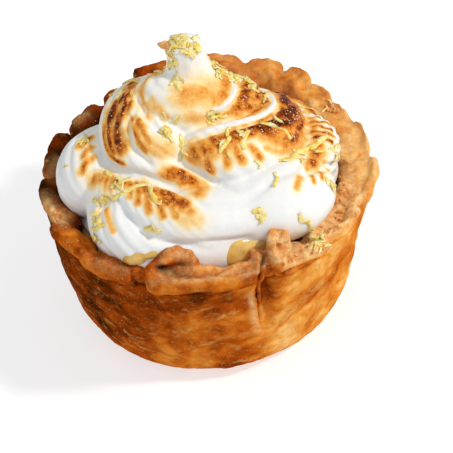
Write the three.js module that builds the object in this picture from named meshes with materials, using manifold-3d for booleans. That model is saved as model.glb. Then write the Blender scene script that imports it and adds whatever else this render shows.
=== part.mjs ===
// Lemon meringue pie for one: a deep pastry case baked in a jumbo muffin tin, filled with lemon
// curd and topped with piped, torched meringue and lemon zest.
// Units are millimetres and +Z is up. The pie stands on z = 0, with the Z axis in the middle of its
// box. Angles are in degrees round the case's own axis, from +X through +Y, so 270 is the front.

import * as THREE from 'three';
import { mergeVertices } from 'three/addons/utils/BufferGeometryUtils.js';
import Module from 'manifold-3d';

// ---- Driving dimensions -------------------------------------------------------------------

const RIM_HEIGHT = 45.8; // table to the mean top of the pastry rim
const RIM_RADIUS = 43.2; // outside of the case just under the rim
const BASE_RADIUS = 34.6; // outside of the case, carried straight down to the table
const BASE_ROUNDING = 8; // radius of the rounded foot of the case
const PASTRY = 3.6; // thickness of the pastry wall and floor
const CURD_HEIGHT = 38; // table to the top of the lemon curd
const PEAK_HEIGHT = 82.5; // table to the tip of the meringue
const GAP = 0.3; // space kept between neighbouring solids
const AXIS_OFFSET = { x: -1.4, y: 2.1 }; // the case's axis, from the middle of the uneven pie

const FLUTES = 11; // ridges round a piped rope of meringue
const FLUTE_DEPTH = 0.9;
const ROPE_STEP = 3.7; // length of one facet along a rope

const ZEST_LENGTH = 4.8; // of a mean shred of lemon zest
const ZEST_WIDTH = 1.3;
const ZEST_THICKNESS = 0.9;
const ZEST_SINK = 0.3; // how deep a shred lies in the meringue
const ZEST_DROOP = 0.05; // bend of a shred down and to one side, for each mm squared off its middle
const ZEST_CURVE = 0.08;

// ---- Small helpers ------------------------------------------------------------------------

const radians = THREE.MathUtils.degToRad;
const { clamp, lerp, smoothstep } = THREE.MathUtils;

// A seeded run of numbers from 0 to 1, so that the pie is the same each time.
function seededRandom(seed) {
  let state = seed;
  return () => {
    state = (Math.imul(state, 1664525) + 1013904223) >>> 0;
    return state / 4294967296;
  };
}

// A smooth value at t, from 0 to 1, through evenly spaced values.
function along(values, t) {
  const last = values.length - 1;
  const place = clamp(t, 0, 1) * last;
  const index = Math.min(Math.floor(place), last - 1);
  const before = values[Math.max(index - 1, 0)];
  const start = values[index];
  const end = values[index + 1];
  const after = values[Math.min(index + 2, last)];
  const f = place - index;
  const bend = 2 * before - 5 * start + 4 * end - after;
  const twist = 3 * start - before - 3 * end + after;
  return start + 0.5 * f * (end - before + f * (bend + f * twist));
}

function polar(angle, radius, height) {
  return new THREE.Vector3(radius * Math.cos(radians(angle)), radius * Math.sin(radians(angle)), height);
}

// The signed difference between two angles, from -180 to 180.
function turnBetween(angle, other) {
  return THREE.MathUtils.euclideanModulo(angle - other + 180, 360) - 180;
}

// Moves every vertex of a closed three.js shape to place(u, v), and merges the vertices that meet.
function reshaped(geometry, place) {
  const uv = geometry.attributes.uv;
  const position = geometry.attributes.position;
  for (let i = 0; i < position.count; i += 1) {
    const point = place(uv.getX(i), uv.getY(i));
    position.setXYZ(i, point.x, point.y, point.z);
  }
  geometry.deleteAttribute('normal');
  geometry.deleteAttribute('uv');
  return mergeVertices(geometry, 1e-4);
}

const wasm = await Module();
wasm.setup();

function solidOf(geometry) {
  const index = geometry.index.array;
  const corners = [];
  for (let i = 0; i < index.length; i += 3) {
    const [a, b, c] = [index[i], index[i + 1], index[i + 2]];
    if (a !== b && b !== c && c !== a) corners.push(a, b, c);
  }
  const mesh = new wasm.Mesh({
    numProp: 3,
    vertProperties: new Float32Array(geometry.attributes.position.array),
    triVerts: new Uint32Array(corners),
  });
  const solid = new wasm.Manifold(mesh);
  if (solid.volume() < 0) throw new Error('a shape is inside out');
  return solid;
}

// The largest connected piece of a solid, without the loose scraps that a cut can leave.
function largestPiece(solid) {
  const pieces = solid.decompose();
  return pieces.reduce((best, piece) => (piece.volume() > best.volume() ? piece : best));
}

function meshOf(name, solid, material) {
  const { vertProperties, triVerts } = solid.getMesh();
  const geometry = new THREE.BufferGeometry();
  geometry.setAttribute('position', new THREE.BufferAttribute(vertProperties, 3));
  geometry.setIndex(new THREE.BufferAttribute(triVerts, 1));
  geometry.computeVertexNormals();
  const mesh = new THREE.Mesh(geometry, material);
  mesh.name = name;
  return mesh;
}

// ---- Pastry case --------------------------------------------------------------------------

// The rim is a ring of petals, where the pastry was pleated to fit the tin. A petal runs from its
// own angle to the next petal's. fold is the depth of the pleat that it starts at, width that
// pleat's half width in degrees, and foot the height at which the pleat dies out. out and up move
// the rim off the mean rim, roll is how far the lip hangs over outwards, and ledge how far the
// pastry slopes in from the lip.
const PETALS = [
  { name: 'right', from: -31, fold: 1.6, width: 2.6, foot: 30, out: 0.6, up: 0.8, roll: 0.5, ledge: 10 },
  { name: 'right b', from: -8, fold: 0.5, width: 2.6, foot: 34, out: -1.4, up: 0.8, roll: 0.5, ledge: 10 },
  { name: 'right c', from: 11, fold: 0.4, width: 2.6, foot: 34, out: -3.4, up: 0.6, roll: 0.4, ledge: 9 },
  { name: 'right back', from: 26, fold: 1, width: 2.6, foot: 34, out: -3, up: 1, roll: 0.4, ledge: 9 },
  { name: 'back a', from: 40, fold: 1, width: 2.4, foot: 34, out: -2.2, up: 1.4, roll: 0.4, ledge: 8 },
  { name: 'back b', from: 52, fold: 1, width: 2.4, foot: 30, out: -2.4, up: 1.2, roll: 0.5, ledge: 7 },
  { name: 'back c', from: 68.5, fold: 1.2, width: 2.4, foot: 32, out: -2.2, up: 1.2, roll: 0.6, ledge: 6 },
  { name: 'back d', from: 93, fold: 1.8, width: 2.6, foot: 26, out: -2.8, up: 1.2, roll: 0.5, ledge: 4 },
  { name: 'back e', from: 116, fold: 2.2, width: 2.6, foot: 32, out: -5.2, up: -0.8, roll: 0.4, ledge: 4 },
  { name: 'back f', from: 131, fold: 2.2, width: 3, foot: 30, out: -5.4, up: -0.2, roll: 0.4, ledge: 4 },
  { name: 'back g', from: 153, fold: 4.2, width: 2.6, foot: 24, out: -4.4, up: 0.2, roll: 0.6, ledge: 4 },
  { name: 'left', from: 181, fold: 2.8, width: 2.6, foot: 22, out: -3, up: 0.2, roll: 0.6, ledge: 5 },
  { name: 'left fold', from: 206, fold: 2.2, width: 2.2, foot: 28, out: -1.2, up: 0.6, roll: 1, ledge: 6 },
  { name: 'front left', from: 222, fold: 1.4, width: 2.6, foot: 26, out: 0, up: -0.8, roll: 1.2, ledge: 6 },
  { name: 'front', from: 247, fold: 3.6, width: 2.4, foot: 16, out: 0.4, up: 0.2, roll: 2.4, ledge: 8 },
  { name: 'right front', from: 288, fold: 6, width: 1.8, foot: 13, out: 0.4, up: -0.6, roll: 1.8, ledge: 9 },
  { name: 'right fold', from: 312, fold: 1.4, width: 2.6, foot: 30, out: 0.2, up: -0.6, roll: 1, ledge: 10 },
];
const PETAL_EASE = 0.2; // share of a petal in which its values ease into its neighbour's
const NOTCH_SHARE = 0.8; // how far the rim dips at a pleat, as a share of the pleat's depth
const NOTCH_DIP = 0.6; // how much lower the rim is where two petals meet without a pleat
const TROUGH_SHARE = 0.14; // depth of the hollow along the top of the lip, for each mm of its ledge
const PLEAT_INSIDE = 0.6; // how much of a pleat's depth shows on the inside
const LEAN_FROM = 16; // height above which the wall leans in or out to its petal's rim

const CASE_ROUND = 104; // facets round the case
const OUTSIDE_ROWS = [0, 1.5, 4.5, 9, 15, 21, 27, 32, 36.5]; // heights up the wall
const LIP_FOOT = 6; // from the top of the rim down to where the lip starts to roll out
const LIP_UNDERSIDE = 4.2; // from the top of the rim down to the underside of the lip
const LIP_EDGE = 2; // from the top of the rim down to the outermost edge of the lip
const LEDGE_SLOPE = 0.75; // fall of the ledge for each mm inwards
const INSIDE_ROW = 24; // height of the row half way down the inside
const FLOOR_CORNER = 4; // rounding between the inside of the wall and the floor

// Low waves of flaky pastry, longer round the case than up it. turns is how many there are round
// the case, climb how fast they drift up it, in radians for each mm, and height half their height.
const FLAKE_WAVES = [
  { turns: 7, climb: 0.55, start: 0, height: 0.22 },
  { turns: 11, climb: -0.8, start: 1.3, height: 0.22 },
  { turns: 23, climb: 0.3, start: 0, height: 0.18 },
];

function petalAt(angle) {
  const count = PETALS.length;
  for (let i = 0; i < count; i += 1) {
    const petal = PETALS[i];
    const next = PETALS[(i + 1) % count];
    const span = THREE.MathUtils.euclideanModulo(next.from - petal.from, 360);
    const turned = THREE.MathUtils.euclideanModulo(angle - petal.from, 360);
    if (turned < span) {
      const before = PETALS[(i + count - 1) % count];
      return { petal, next, before, share: turned / span };
    }
  }
  throw new Error('no petal');
}

// A petal's value, eased into its neighbours' near its two ends.
function rimValue(key, angle) {
  const { petal, next, before, share } = petalAt(angle);
  const own = petal[key];
  const atStart = (own + before[key]) / 2;
  const atEnd = (own + next[key]) / 2;
  if (share < PETAL_EASE) return lerp(atStart, own, smoothstep(share, 0, PETAL_EASE));
  return lerp(own, atEnd, smoothstep(share, 1 - PETAL_EASE, 1));
}

// The depth of the pleats at an angle and a height.
function pleatDepth(angle, height) {
  let depth = 0;
  for (const petal of PETALS) {
    const off = turnBetween(angle, petal.from) / petal.width;
    const fade = smoothstep(height, petal.foot, RIM_HEIGHT - 4);
    depth += petal.fold * fade * Math.exp(-off * off);
  }
  return depth;
}

// Petals stand highest in the middle and dip where they meet.
function rimTop(angle) {
  const { share } = petalAt(angle);
  const arch = 1 - Math.abs(2 * share - 1) ** 3;
  const notch = NOTCH_SHARE * pleatDepth(angle, RIM_HEIGHT) + NOTCH_DIP * (1 - arch);
  return RIM_HEIGHT + rimValue('up', angle) * arch - notch;
}

// The outside of the wall without its pleats and flakes.
function wallRadius(angle, height) {
  const straight = lerp(BASE_RADIUS, RIM_RADIUS, height / (RIM_HEIGHT - 5));
  const below = clamp(BASE_ROUNDING - height, 0, BASE_ROUNDING);
  const rounding = BASE_ROUNDING - Math.sqrt(BASE_ROUNDING ** 2 - below ** 2);
  const lean = rimValue('out', angle) * smoothstep(height, LEAN_FROM, RIM_HEIGHT);
  return straight - rounding + lean;
}

function outsideRadius(angle, height) {
  const turn = radians(angle);
  let flakes = 0;
  for (const wave of FLAKE_WAVES) {
    flakes += wave.height * Math.sin(wave.turns * turn + wave.climb * height + wave.start);
  }
  return wallRadius(angle, height) - pleatDepth(angle, height) + flakes;
}

function insideRadius(angle, height, grow) {
  return wallRadius(angle, height) - PASTRY - PLEAT_INSIDE * pleatDepth(angle, height) - grow;
}

// The case's section, from the middle of the base, up the outside, over the lip and down the
// inside to the middle of the floor. grow makes the inside and the top larger, to cut others with.
function caseSection(angle, grow) {
  const top = rimTop(angle) + grow;
  const roll = rimValue('roll', angle);
  const ledge = rimValue('ledge', angle) + grow;
  const lip = outsideRadius(angle, top - 3) + roll;
  const ledgeFoot = top - LEDGE_SLOPE * ledge - 1.2;
  const wall = insideRadius(angle, ledgeFoot, grow);
  const ledgeEnd = Math.min(lip - ledge, wall);
  const corner = insideRadius(angle, PASTRY + FLOOR_CORNER, grow);
  return [
    [0, 0],
    [0.6 * outsideRadius(angle, 0), 0],
    ...OUTSIDE_ROWS.map((height) => [outsideRadius(angle, height), height]),
    [outsideRadius(angle, top - LIP_FOOT) + 0.1 * roll, top - LIP_FOOT],
    [lip - 0.05 * roll, top - LIP_UNDERSIDE],
    [lip, top - LIP_EDGE],
    [lip - 0.9, top],
    [lip - 2.2, top - 0.2 - TROUGH_SHARE * ledge],
    [lip - 0.75 * ledge, top - 0.12 * ledge],
    [ledgeEnd, ledgeFoot + 1.5],
    [Math.min(ledgeEnd + 0.5, wall), ledgeFoot - 2.5],
    [insideRadius(angle, INSIDE_ROW, grow), INSIDE_ROW],
    [corner, PASTRY + FLOOR_CORNER + grow],
    [corner - FLOOR_CORNER, PASTRY + grow],
    [0, PASTRY + grow],
  ];
}

// Angles round the case, closer together where a pleat is.
function caseAngles(count) {
  const samples = 3600;
  const density = (angle) => {
    const pleats = PETALS.map((petal) => turnBetween(angle, petal.from) / (1.5 * petal.width));
    return 1 + pleats.reduce((sum, off) => sum + 2.2 * Math.exp(-off * off), 0);
  };
  const total = [0];
  for (let i = 0; i < samples; i += 1) total.push(total[i] + density((i * 360) / samples));
  const angles = [];
  let at = 0;
  for (let i = 0; i < count; i += 1) {
    while (total[at + 1] < (total[samples] * i) / count) at += 1;
    angles.push((at * 360) / samples);
  }
  return angles;
}

// A closed shape turned round the axis from one section for each angle, each a list of
// [radius, height] from the axis to the axis.
function turnedShape(angles, sectionAt) {
  const count = angles.length;
  const sections = angles.map(sectionAt);
  const last = sections[0].length - 1;
  const profile = sections[0].map((_, row) => new THREE.Vector2(row % last, row));
  return solidOf(
    reshaped(new THREE.LatheGeometry(profile, count), (u, v) => {
      const step = Math.round(u * count) % count;
      const [radius, height] = sections[step][Math.round(v * last)];
      return polar(angles[step], radius, height);
    })
  );
}

function pastryCase(grow = 0) {
  return turnedShape(caseAngles(CASE_ROUND), (angle) => caseSection(angle, grow));
}

// ---- Ropes: closed tubes with a section that may be fluted ----------------------------------

const PATH_STEPS = 240; // fine steps along a rope's path, of which its rows take some
const END_CROWDING = 0.35; // how far the rows of a rope crowd towards its two ends, from 0 to 1

// A rope winds round the pie's axis from turn[0] to turn[1]. reach, height and thick give its
// distance from the axis, its height and its radius, evenly spaced along the turn. flute scales
// the ridges, and lean is the slope at which they run down the rope as it advances.
function rope({ turn, reach, height, thick, flute, lean }, flutes = FLUTES) {
  const path = [];
  for (let i = 0; i <= PATH_STEPS; i += 1) {
    const t = i / PATH_STEPS;
    path.push(polar(lerp(turn[0], turn[1], t), along(reach, t), along(height, t)));
  }
  const length = [0];
  const twist = [0];
  for (let i = 1; i <= PATH_STEPS; i += 1) {
    const t = i / PATH_STEPS;
    const step = path[i].distanceTo(path[i - 1]);
    length.push(length[i - 1] + step);
    twist.push(twist[i - 1] - (along(lean, t) * step) / along(thick, t));
  }
  const whole = length[PATH_STEPS];
  const rows = Math.max(6, Math.round(whole / ROPE_STEP));
  const round = flutes * 2;
  return solidOf(
    reshaped(new THREE.SphereGeometry(1, round, rows), (u, v) => {
      const share = Math.round((1 - v) * rows) / rows;
      const wanted = whole * lerp(share, 0.5 - 0.5 * Math.cos(Math.PI * share), END_CROWDING);
      const at = clamp(length.findIndex((value) => value >= wanted - 1e-9), 0, PATH_STEPS);
      const t = at / PATH_STEPS;
      const ahead = path[Math.min(at + 1, PATH_STEPS)].clone().sub(path[Math.max(at - 1, 0)]).normalize();
      const out = polar(lerp(turn[0], turn[1], t), 1, 0).projectOnPlane(ahead).normalize();
      const up = out.clone().cross(ahead);
      const radius = along(thick, t);
      const fromEnd = Math.min(length[at], whole - length[at], radius) / radius;
      const end = Math.sqrt(1 - (1 - fromEnd) ** 2);
      const ridge = Math.round(u * round) % 2 === 0 ? 1 : -1;
      const size = end * (radius + 0.5 * FLUTE_DEPTH * along(flute, t) * ridge);
      const around = 2 * Math.PI * u + twist[at];
      const side = out.multiplyScalar(size * Math.cos(around)).addScaledVector(up, size * Math.sin(around));
      return path[at].clone().add(side);
    })
  );
}

// ---- Meringue -------------------------------------------------------------------------------

const ROPES = [
  { // left lobe of the bottom ring
    turn: [130, 217], reach: [14, 19.5, 26.5, 29.6], height: [42, 44.5, 48.5, 47.4],
    thick: [6, 7, 8.6, 9], flute: [1, 1, 1, 0.3], lean: [0.1, 0.2, 0.4],
  },
  { // shell at the front left, and the bottom ring under the front
    turn: [208, 280], reach: [26.5, 33, 32, 31.5], height: [49.5, 46.5, 44.3, 43.2],
    thick: [4.5, 7.4, 7.2, 6.8], flute: [1, 0.9, 0.2, 0], lean: [0.5, 0.8, 0.4],
  },
  { // bottom ring at the right and the back
    turn: [290, 500], reach: [29, 27, 25.5, 23, 26, 27], height: [44.5, 44.5, 43, 42, 42, 43],
    thick: [7.5, 8.3, 8, 7.5, 7.5, 7.5], flute: [0.3, 0.6, 1, 1], lean: [0.3, 0.3],
  },
  { // main rope, from the toasted ridge to the round lobe at the right
    turn: [200, 331], reach: [26, 28.4, 29, 29.8, 29.5, 31.5, 31.2],
    height: [52, 51.2, 50.5, 50, 49.8, 49.5, 49.5], thick: [4, 5.8, 7.2, 7.6, 8.2, 9.6, 9.2],
    flute: [1, 1, 0.6, 0.1, 0, 0], lean: [0.8, 1.2, 1.0, 0.4],
  },
  { // small lobe above it at the right
    turn: [312, 365], reach: [26, 28.3, 24], height: [51, 50.8, 47.5],
    thick: [6, 8, 6.5], flute: [0, 0.8, 1], lean: [0.4, 0.8, 0.8],
  },
  { // second ring: dark lobe at the left, and the ridge below the third ring
    turn: [120, 285], reach: [6, 12, 16.4, 19.4, 20.5, 21], height: [57, 59, 58.5, 57, 54.5, 52.5],
    thick: [6, 7, 7.3, 6.5, 5.8, 5], flute: [1, 1, 1, 0.6, 0.6, 0], lean: [0.1, 0.2, 0.6, 1.0],
  },
  { // second ring at the right and the back: the toasted fingers and the darkest side
    turn: [252, 430], reach: [13, 18.3, 19, 10.5, 7], height: [60, 57, 54.6, 52, 52],
    thick: [5.5, 9, 9, 8, 7.5], flute: [0.6, 0.6, 0.6, 1, 1], lean: [1.0, 1.2, 0.6, 0.4],
  },
  { // second ring at the back
    turn: [20, 175], reach: [10, 9, 8, 9], height: [56, 57, 58, 58.5],
    thick: [7, 7.5, 7.5, 7], flute: [1, 1], lean: [0.3, 0.3],
  },
  { // third ring: the lobe at the left
    turn: [160, 258], reach: [9, 13.5, 16.3, 15], height: [62.5, 62.5, 61, 59.5],
    thick: [5.5, 6.2, 6.4, 5], flute: [1, 1, 1, 0.6], lean: [0.2, 0.4, 0.8],
  },
  { // third ring at the right
    turn: [280, 410], reach: [6, 9, 11.5, 6], height: [64.5, 62.5, 60.2, 59.5],
    thick: [4.5, 5.6, 5.4, 5.5], flute: [0.2, 0.4, 0.8, 1], lean: [0.4, 0.6, 0.4],
  },
  { // top ring: the shoulder under the peak
    turn: [140, 320], reach: [5, 8, 6, 5.5], height: [65.5, 65.5, 66.5, 65.5],
    thick: [6, 7, 6.3, 5.8], flute: [1, 1, 0.3, 0.2], lean: [0.3, 0.5, 0.5],
  },
];

// The peak is drawn up from the top ring: a hollow-sided cone with a blunt, ragged top.
const PEAK_FOOT = 60;
const PEAK_RADII = [13, 12.6, 10.8, 7.8, 5.8, 4.9, 4.5, 3.6]; // evenly spaced, from the foot up
const PEAK_LEAN = 1.2; // how far the tip is pushed over to the left
const PEAK_TWIST = 30; // degrees that its faint ridges turn on the way up
const PEAK_RIDGES = 10;
const PEAK_ROWS = 11;

function peak() {
  const round = 2 * PEAK_RIDGES;
  return solidOf(
    reshaped(new THREE.SphereGeometry(1, round, PEAK_ROWS), (u, v) => {
      const height = lerp(PEAK_FOOT, PEAK_HEIGHT, v);
      const end = Math.sqrt(clamp(12 * Math.min(v, 1 - v), 0, 1));
      const ridge = Math.round(u * round) % 2 === 0 ? 1 : -1;
      const size = end * (along(PEAK_RADII, v) + 0.2 * FLUTE_DEPTH * ridge);
      const lean = new THREE.Vector3(-PEAK_LEAN * v * v, 0, 0);
      return polar(360 * u + PEAK_TWIST * v, size, height).add(lean);
    })
  );
}

// The meringue under the ropes, from the curd up to the shoulder. It fills the case out to the
// pastry, except behind, and at a nick in the front where the curd shows.
const CORE = [[0, 34], [30, 34], [33.5, 40], [32, 43], [26, 47], [21, 53], [14, 60], [8, 66], [0, 68]];
const CORE_ROUND = 48;
const CORE_SHIFT = -2; // along Y
const CORE_BACK = 0.15; // how much smaller the core is behind
const NICK = { angle: 283, halfWidth: 4.5, depth: 6, reach: 28 };

function core() {
  const angles = Array.from({ length: CORE_ROUND }, (_, step) => (360 * step) / CORE_ROUND);
  const shape = turnedShape(angles, (angle) => {
    const off = turnBetween(angle, NICK.angle) / NICK.halfWidth;
    const nick = NICK.depth * Math.exp(-off * off);
    const share = 1 - CORE_BACK * Math.max(0, Math.sin(radians(angle)));
    return CORE.map(([radius, height]) => [share * radius - (radius > NICK.reach ? nick : 0), height]);
  });
  return shape.translate(0, CORE_SHIFT, 0);
}

function meringueBody() {
  const pieces = [core(), peak(), ...ROPES.map((shape) => rope(shape))];
  return pieces.reduce((whole, piece) => whole.add(piece));
}

// ---- Lemon zest -------------------------------------------------------------------------------

// Shreds lie in loose groups. angle, reach and height say where a group's middle is, and spread
// how far its shreds stray from there.
const ZEST_GROUPS = [
  { angle: 200, reach: 4.6, height: 80, count: 3, spread: 2.2 }, // round the tip
  { angle: 300, reach: 3.6, height: 80, count: 3, spread: 2.4 },
  { angle: 90, reach: 4.2, height: 79, count: 1, spread: 2 },
  { angle: 12, reach: 8.5, height: 69, count: 4, spread: 3.2 }, // beside the peak
  { angle: 355, reach: 15.5, height: 65.5, count: 2, spread: 1.5 },
  { angle: 240, reach: 12.5, height: 68, count: 2, spread: 3 }, // below the peak in front
  { angle: 250, reach: 17, height: 63.5, count: 1, spread: 1.8 },
  { angle: 291, reach: 11.5, height: 65.5, count: 2, spread: 2 },
  { angle: 298, reach: 22, height: 65, count: 1, spread: 2.5 },
  { angle: 327, reach: 24, height: 63.5, count: 2, spread: 2 },
  { angle: 325, reach: 30, height: 58, count: 3, spread: 4 }, // over the right lobe
  { angle: 302, reach: 30, height: 59.5, count: 1, spread: 2.5 },
  { angle: 325, reach: 38, height: 53, count: 2, spread: 3 },
  { angle: 290, reach: 36.7, height: 54, count: 1, spread: 0 },
  { angle: 305, reach: 40.5, height: 50, count: 2, spread: 1.5 },
  { angle: 190, reach: 28, height: 57.5, count: 1, spread: 0 }, // over the left lobes
  { angle: 221, reach: 28.5, height: 56.8, count: 2, spread: 2.5 },
  { angle: 242, reach: 28, height: 57, count: 2, spread: 3 },
  { angle: 227, reach: 38.5, height: 49.5, count: 2, spread: 1.5 },
  { angle: 251, reach: 36, height: 52, count: 1, spread: 0 },
  { angle: 120, reach: 14, height: 58, count: 1, spread: 4 }, // at the back
];
const ZEST_SEED = 7;
const ZEST_FALL = 0.9; // slope of the line along which a shred falls towards the axis

// A flat strip that bends down at both ends and curves to one side.
function zestShred(point, normal, heading, length) {
  const shred = new THREE.BoxGeometry(length, ZEST_WIDTH, ZEST_THICKNESS, 2, 1, 1);
  const position = shred.attributes.position;
  for (let i = 0; i < position.count; i += 1) {
    const offMiddle = position.getX(i) ** 2;
    position.setZ(i, position.getZ(i) - ZEST_DROOP * offMiddle);
    position.setY(i, position.getY(i) + ZEST_CURVE * offMiddle);
  }
  const across = normal.clone().cross(heading).normalize();
  const ahead = across.clone().cross(normal);
  const frame = new THREE.Matrix4().makeBasis(ahead, across, normal);
  const middle = point.clone().addScaledVector(normal, ZEST_THICKNESS / 2 - ZEST_SINK);
  shred.applyMatrix4(frame.setPosition(middle));
  shred.deleteAttribute('normal');
  shred.deleteAttribute('uv');
  return solidOf(mergeVertices(shred, 1e-4));
}

// Drops each shred on the meringue along a line that slants down towards the axis.
function zestOn(meringueSurface) {
  const random = seededRandom(ZEST_SEED);
  const stray = (spread) => (2 * random() - 1) * spread;
  const caster = new THREE.Raycaster();
  const shreds = [];
  for (const group of ZEST_GROUPS) {
    const outward = polar(group.angle, 1, ZEST_FALL).normalize();
    for (let i = 0; i < group.count; i += 1) {
      const near = polar(group.angle, group.reach, group.height);
      near.add(new THREE.Vector3(stray(group.spread), stray(group.spread), stray(group.spread / 2)));
      caster.set(near.addScaledVector(outward, RIM_RADIUS), outward.clone().negate());
      const [hit] = caster.intersectObject(meringueSurface);
      const heading = new THREE.Vector3(stray(1), stray(1), stray(1));
      const length = ZEST_LENGTH * (0.75 + 0.5 * random());
      if (hit) shreds.push(zestShred(hit.point, hit.face.normal, heading, length));
    }
  }
  return shreds.reduce((whole, shred) => whole.add(shred));
}

// ---- Lemon curd -----------------------------------------------------------------------------

// The curd fills the case, and wells up at the two deep pleats in the front.
const CURD_ROUND = CASE_ROUND / 2; // facets round the curd
const WELLS = [
  { angle: 243, halfWidth: 7, rise: 9 },
  { angle: 283, halfWidth: 7, rise: 3.5 },
];

function curdTop(angle) {
  let top = CURD_HEIGHT;
  for (const well of WELLS) {
    const off = turnBetween(angle, well.angle) / well.halfWidth;
    top += well.rise * Math.exp(-off * off);
  }
  return top;
}

function curd(grow = 0) {
  const gap = GAP - grow;
  const floor = PASTRY + GAP;
  return turnedShape(caseAngles(CURD_ROUND), (angle) => {
    const top = curdTop(angle) + grow;
    const ledgeEnd = outsideRadius(angle, RIM_HEIGHT) + rimValue('roll', angle) - rimValue('ledge', angle);
    const brim = Math.min(insideRadius(angle, top - 4, gap), ledgeEnd - gap);
    const corner = insideRadius(angle, PASTRY + FLOOR_CORNER, gap);
    return [
      [0, floor],
      [corner - FLOOR_CORNER, floor],
      [corner, floor + FLOOR_CORNER],
      [insideRadius(angle, INSIDE_ROW, gap), INSIDE_ROW],
      [Math.min(brim, insideRadius(angle, CURD_HEIGHT - 4, gap)), CURD_HEIGHT - 4],
      [brim, top - 1.2],
      [brim - 1.5, top],
      [0.6 * brim, top],
      [0, CURD_HEIGHT + grow],
    ];
  });
}

// ---- Curled folds of the rim ------------------------------------------------------------------

// Where the pastry turns over on itself, its rounded edge lies on the rim as a short plain rope.
const FOLDS = [
  { // scroll at the left end of the front petal
    turn: [249, 265.5], reach: [44, 40, 38.2, 39.6], height: [42.6, 46.4, 46.8, 44.6],
    thick: [2.6, 2.8, 2.6, 2.1], flute: [0, 0], lean: [0, 0],
  },
  { // right end of the front petal, turned in along the deep pleat
    turn: [284.5, 286], reach: [44.6, 41, 36], height: [42.6, 44.4, 44.8],
    thick: [2, 1.9, 1.7], flute: [0, 0], lean: [0, 0],
  },
  { // tongue standing beside the deep pleat
    turn: [290.5, 295.5], reach: [43.6, 40.6, 36.6], height: [41.5, 47, 48.4],
    thick: [3.3, 3.1, 2.6], flute: [0, 0], lean: [0, 0],
  },
];
const FOLD_SIDES = 5; // pairs of facets round a fold

function rimFolds(grow = 0) {
  const grown = FOLDS.map((shape) => ({ ...shape, thick: shape.thick.map((value) => value + grow) }));
  return grown.map((shape) => rope(shape, FOLD_SIDES)).reduce((whole, piece) => whole.add(piece));
}

// ---- The pie ----------------------------------------------------------------------------------

const crustMaterial = new THREE.MeshStandardMaterial({ color: 0xc9802f, roughness: 0.6, metalness: 0 });
const curdMaterial = new THREE.MeshStandardMaterial({ color: 0xd8b545, roughness: 0.25, metalness: 0 });
const meringueMaterial = new THREE.MeshStandardMaterial({ color: 0xf4f1ea, roughness: 0.5, metalness: 0 });

const crust = pastryCase().add(rimFolds());
const crustClearance = pastryCase(GAP).add(rimFolds(GAP));
const filling = largestPiece(curd().subtract(crustClearance));
const piped = meringueBody();
const topping = piped.add(zestOn(meshOf('surface', piped, meringueMaterial)));
const meringue = largestPiece(topping.subtract(crustClearance).subtract(curd(GAP)));

const pie = new THREE.Group();
pie.position.set(AXIS_OFFSET.x, AXIS_OFFSET.y, 0);
pie.add(meshOf('crust', crust, crustMaterial));
pie.add(meshOf('lemon_filling', filling, curdMaterial));
pie.add(meshOf('meringue', meringue, meringueMaterial));

export default pie;
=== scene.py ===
# Looks of a small lemon meringue pie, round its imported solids: flaky pastry, glossy lemon curd,
# piped and torched meringue, shreds of zest and crumbs.
# Shapes are worked out in millimetres from the case's own axis, then put in place in metres.

import math
import random

import bmesh
import bpy
import numpy as np
from mathutils import Matrix, Quaternion, Vector, noise
from mathutils.bvhtree import BVHTree


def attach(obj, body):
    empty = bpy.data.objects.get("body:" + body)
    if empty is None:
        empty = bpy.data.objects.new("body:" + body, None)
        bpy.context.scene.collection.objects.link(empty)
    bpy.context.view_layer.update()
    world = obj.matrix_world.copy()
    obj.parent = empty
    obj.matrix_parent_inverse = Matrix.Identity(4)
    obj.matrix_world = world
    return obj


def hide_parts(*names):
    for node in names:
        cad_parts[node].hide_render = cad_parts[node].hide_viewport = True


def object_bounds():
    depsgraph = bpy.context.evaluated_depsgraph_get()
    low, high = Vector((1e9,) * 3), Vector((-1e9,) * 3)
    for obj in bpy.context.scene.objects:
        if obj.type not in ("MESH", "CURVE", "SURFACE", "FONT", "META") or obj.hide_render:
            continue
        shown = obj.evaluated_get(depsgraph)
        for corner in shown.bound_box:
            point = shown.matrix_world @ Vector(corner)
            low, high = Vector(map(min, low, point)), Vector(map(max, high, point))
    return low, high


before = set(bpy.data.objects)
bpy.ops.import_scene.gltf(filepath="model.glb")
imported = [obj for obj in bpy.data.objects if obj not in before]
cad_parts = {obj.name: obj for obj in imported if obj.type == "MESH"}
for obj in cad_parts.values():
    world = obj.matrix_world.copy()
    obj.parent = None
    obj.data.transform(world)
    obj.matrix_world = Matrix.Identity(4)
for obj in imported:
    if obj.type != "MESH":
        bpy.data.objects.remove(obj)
CAD_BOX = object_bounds()

# ---- Driving dimensions, in millimetres --------------------------------------------------------

MM = 0.001
AXIS_OFFSET = (-1.4, 2.1)  # the case's axis, from the middle of the uneven pie
RIM_HEIGHT = 45.8
RIM_RADIUS = 43.2
BASE_RADIUS = 34.6
BASE_ROUNDING = 8
PASTRY = 3.6  # thickness of the wall
CURD_HEIGHT = 38
PEAK_HEIGHT = 82.2
FLUTE_DEPTH = 0.8  # of the ridges that the star nozzle leaves

MERINGUE_GRAIN = 0.43  # size of a face of the meringue
CRUST_GRAIN = 0.575  # size of a face of the pastry
CURD_GRAIN = 0.6  # size of a face of the curd

# ---- Camera ------------------------------------------------------------------------------------

VIEW_PIXELS = 453  # along each side of the view
FOCAL_PIXELS = 1770
ELEVATION = math.radians(40)
ROLL = math.radians(6)
DISTANCE = 450
AIM_HEIGHT = 38
AIM_PIXEL = (202.4, 177.8)  # where the case's axis at AIM_HEIGHT appears
SENSOR_WIDTH = 36
NEAREST_SEEN = 0.01  # metres


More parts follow.
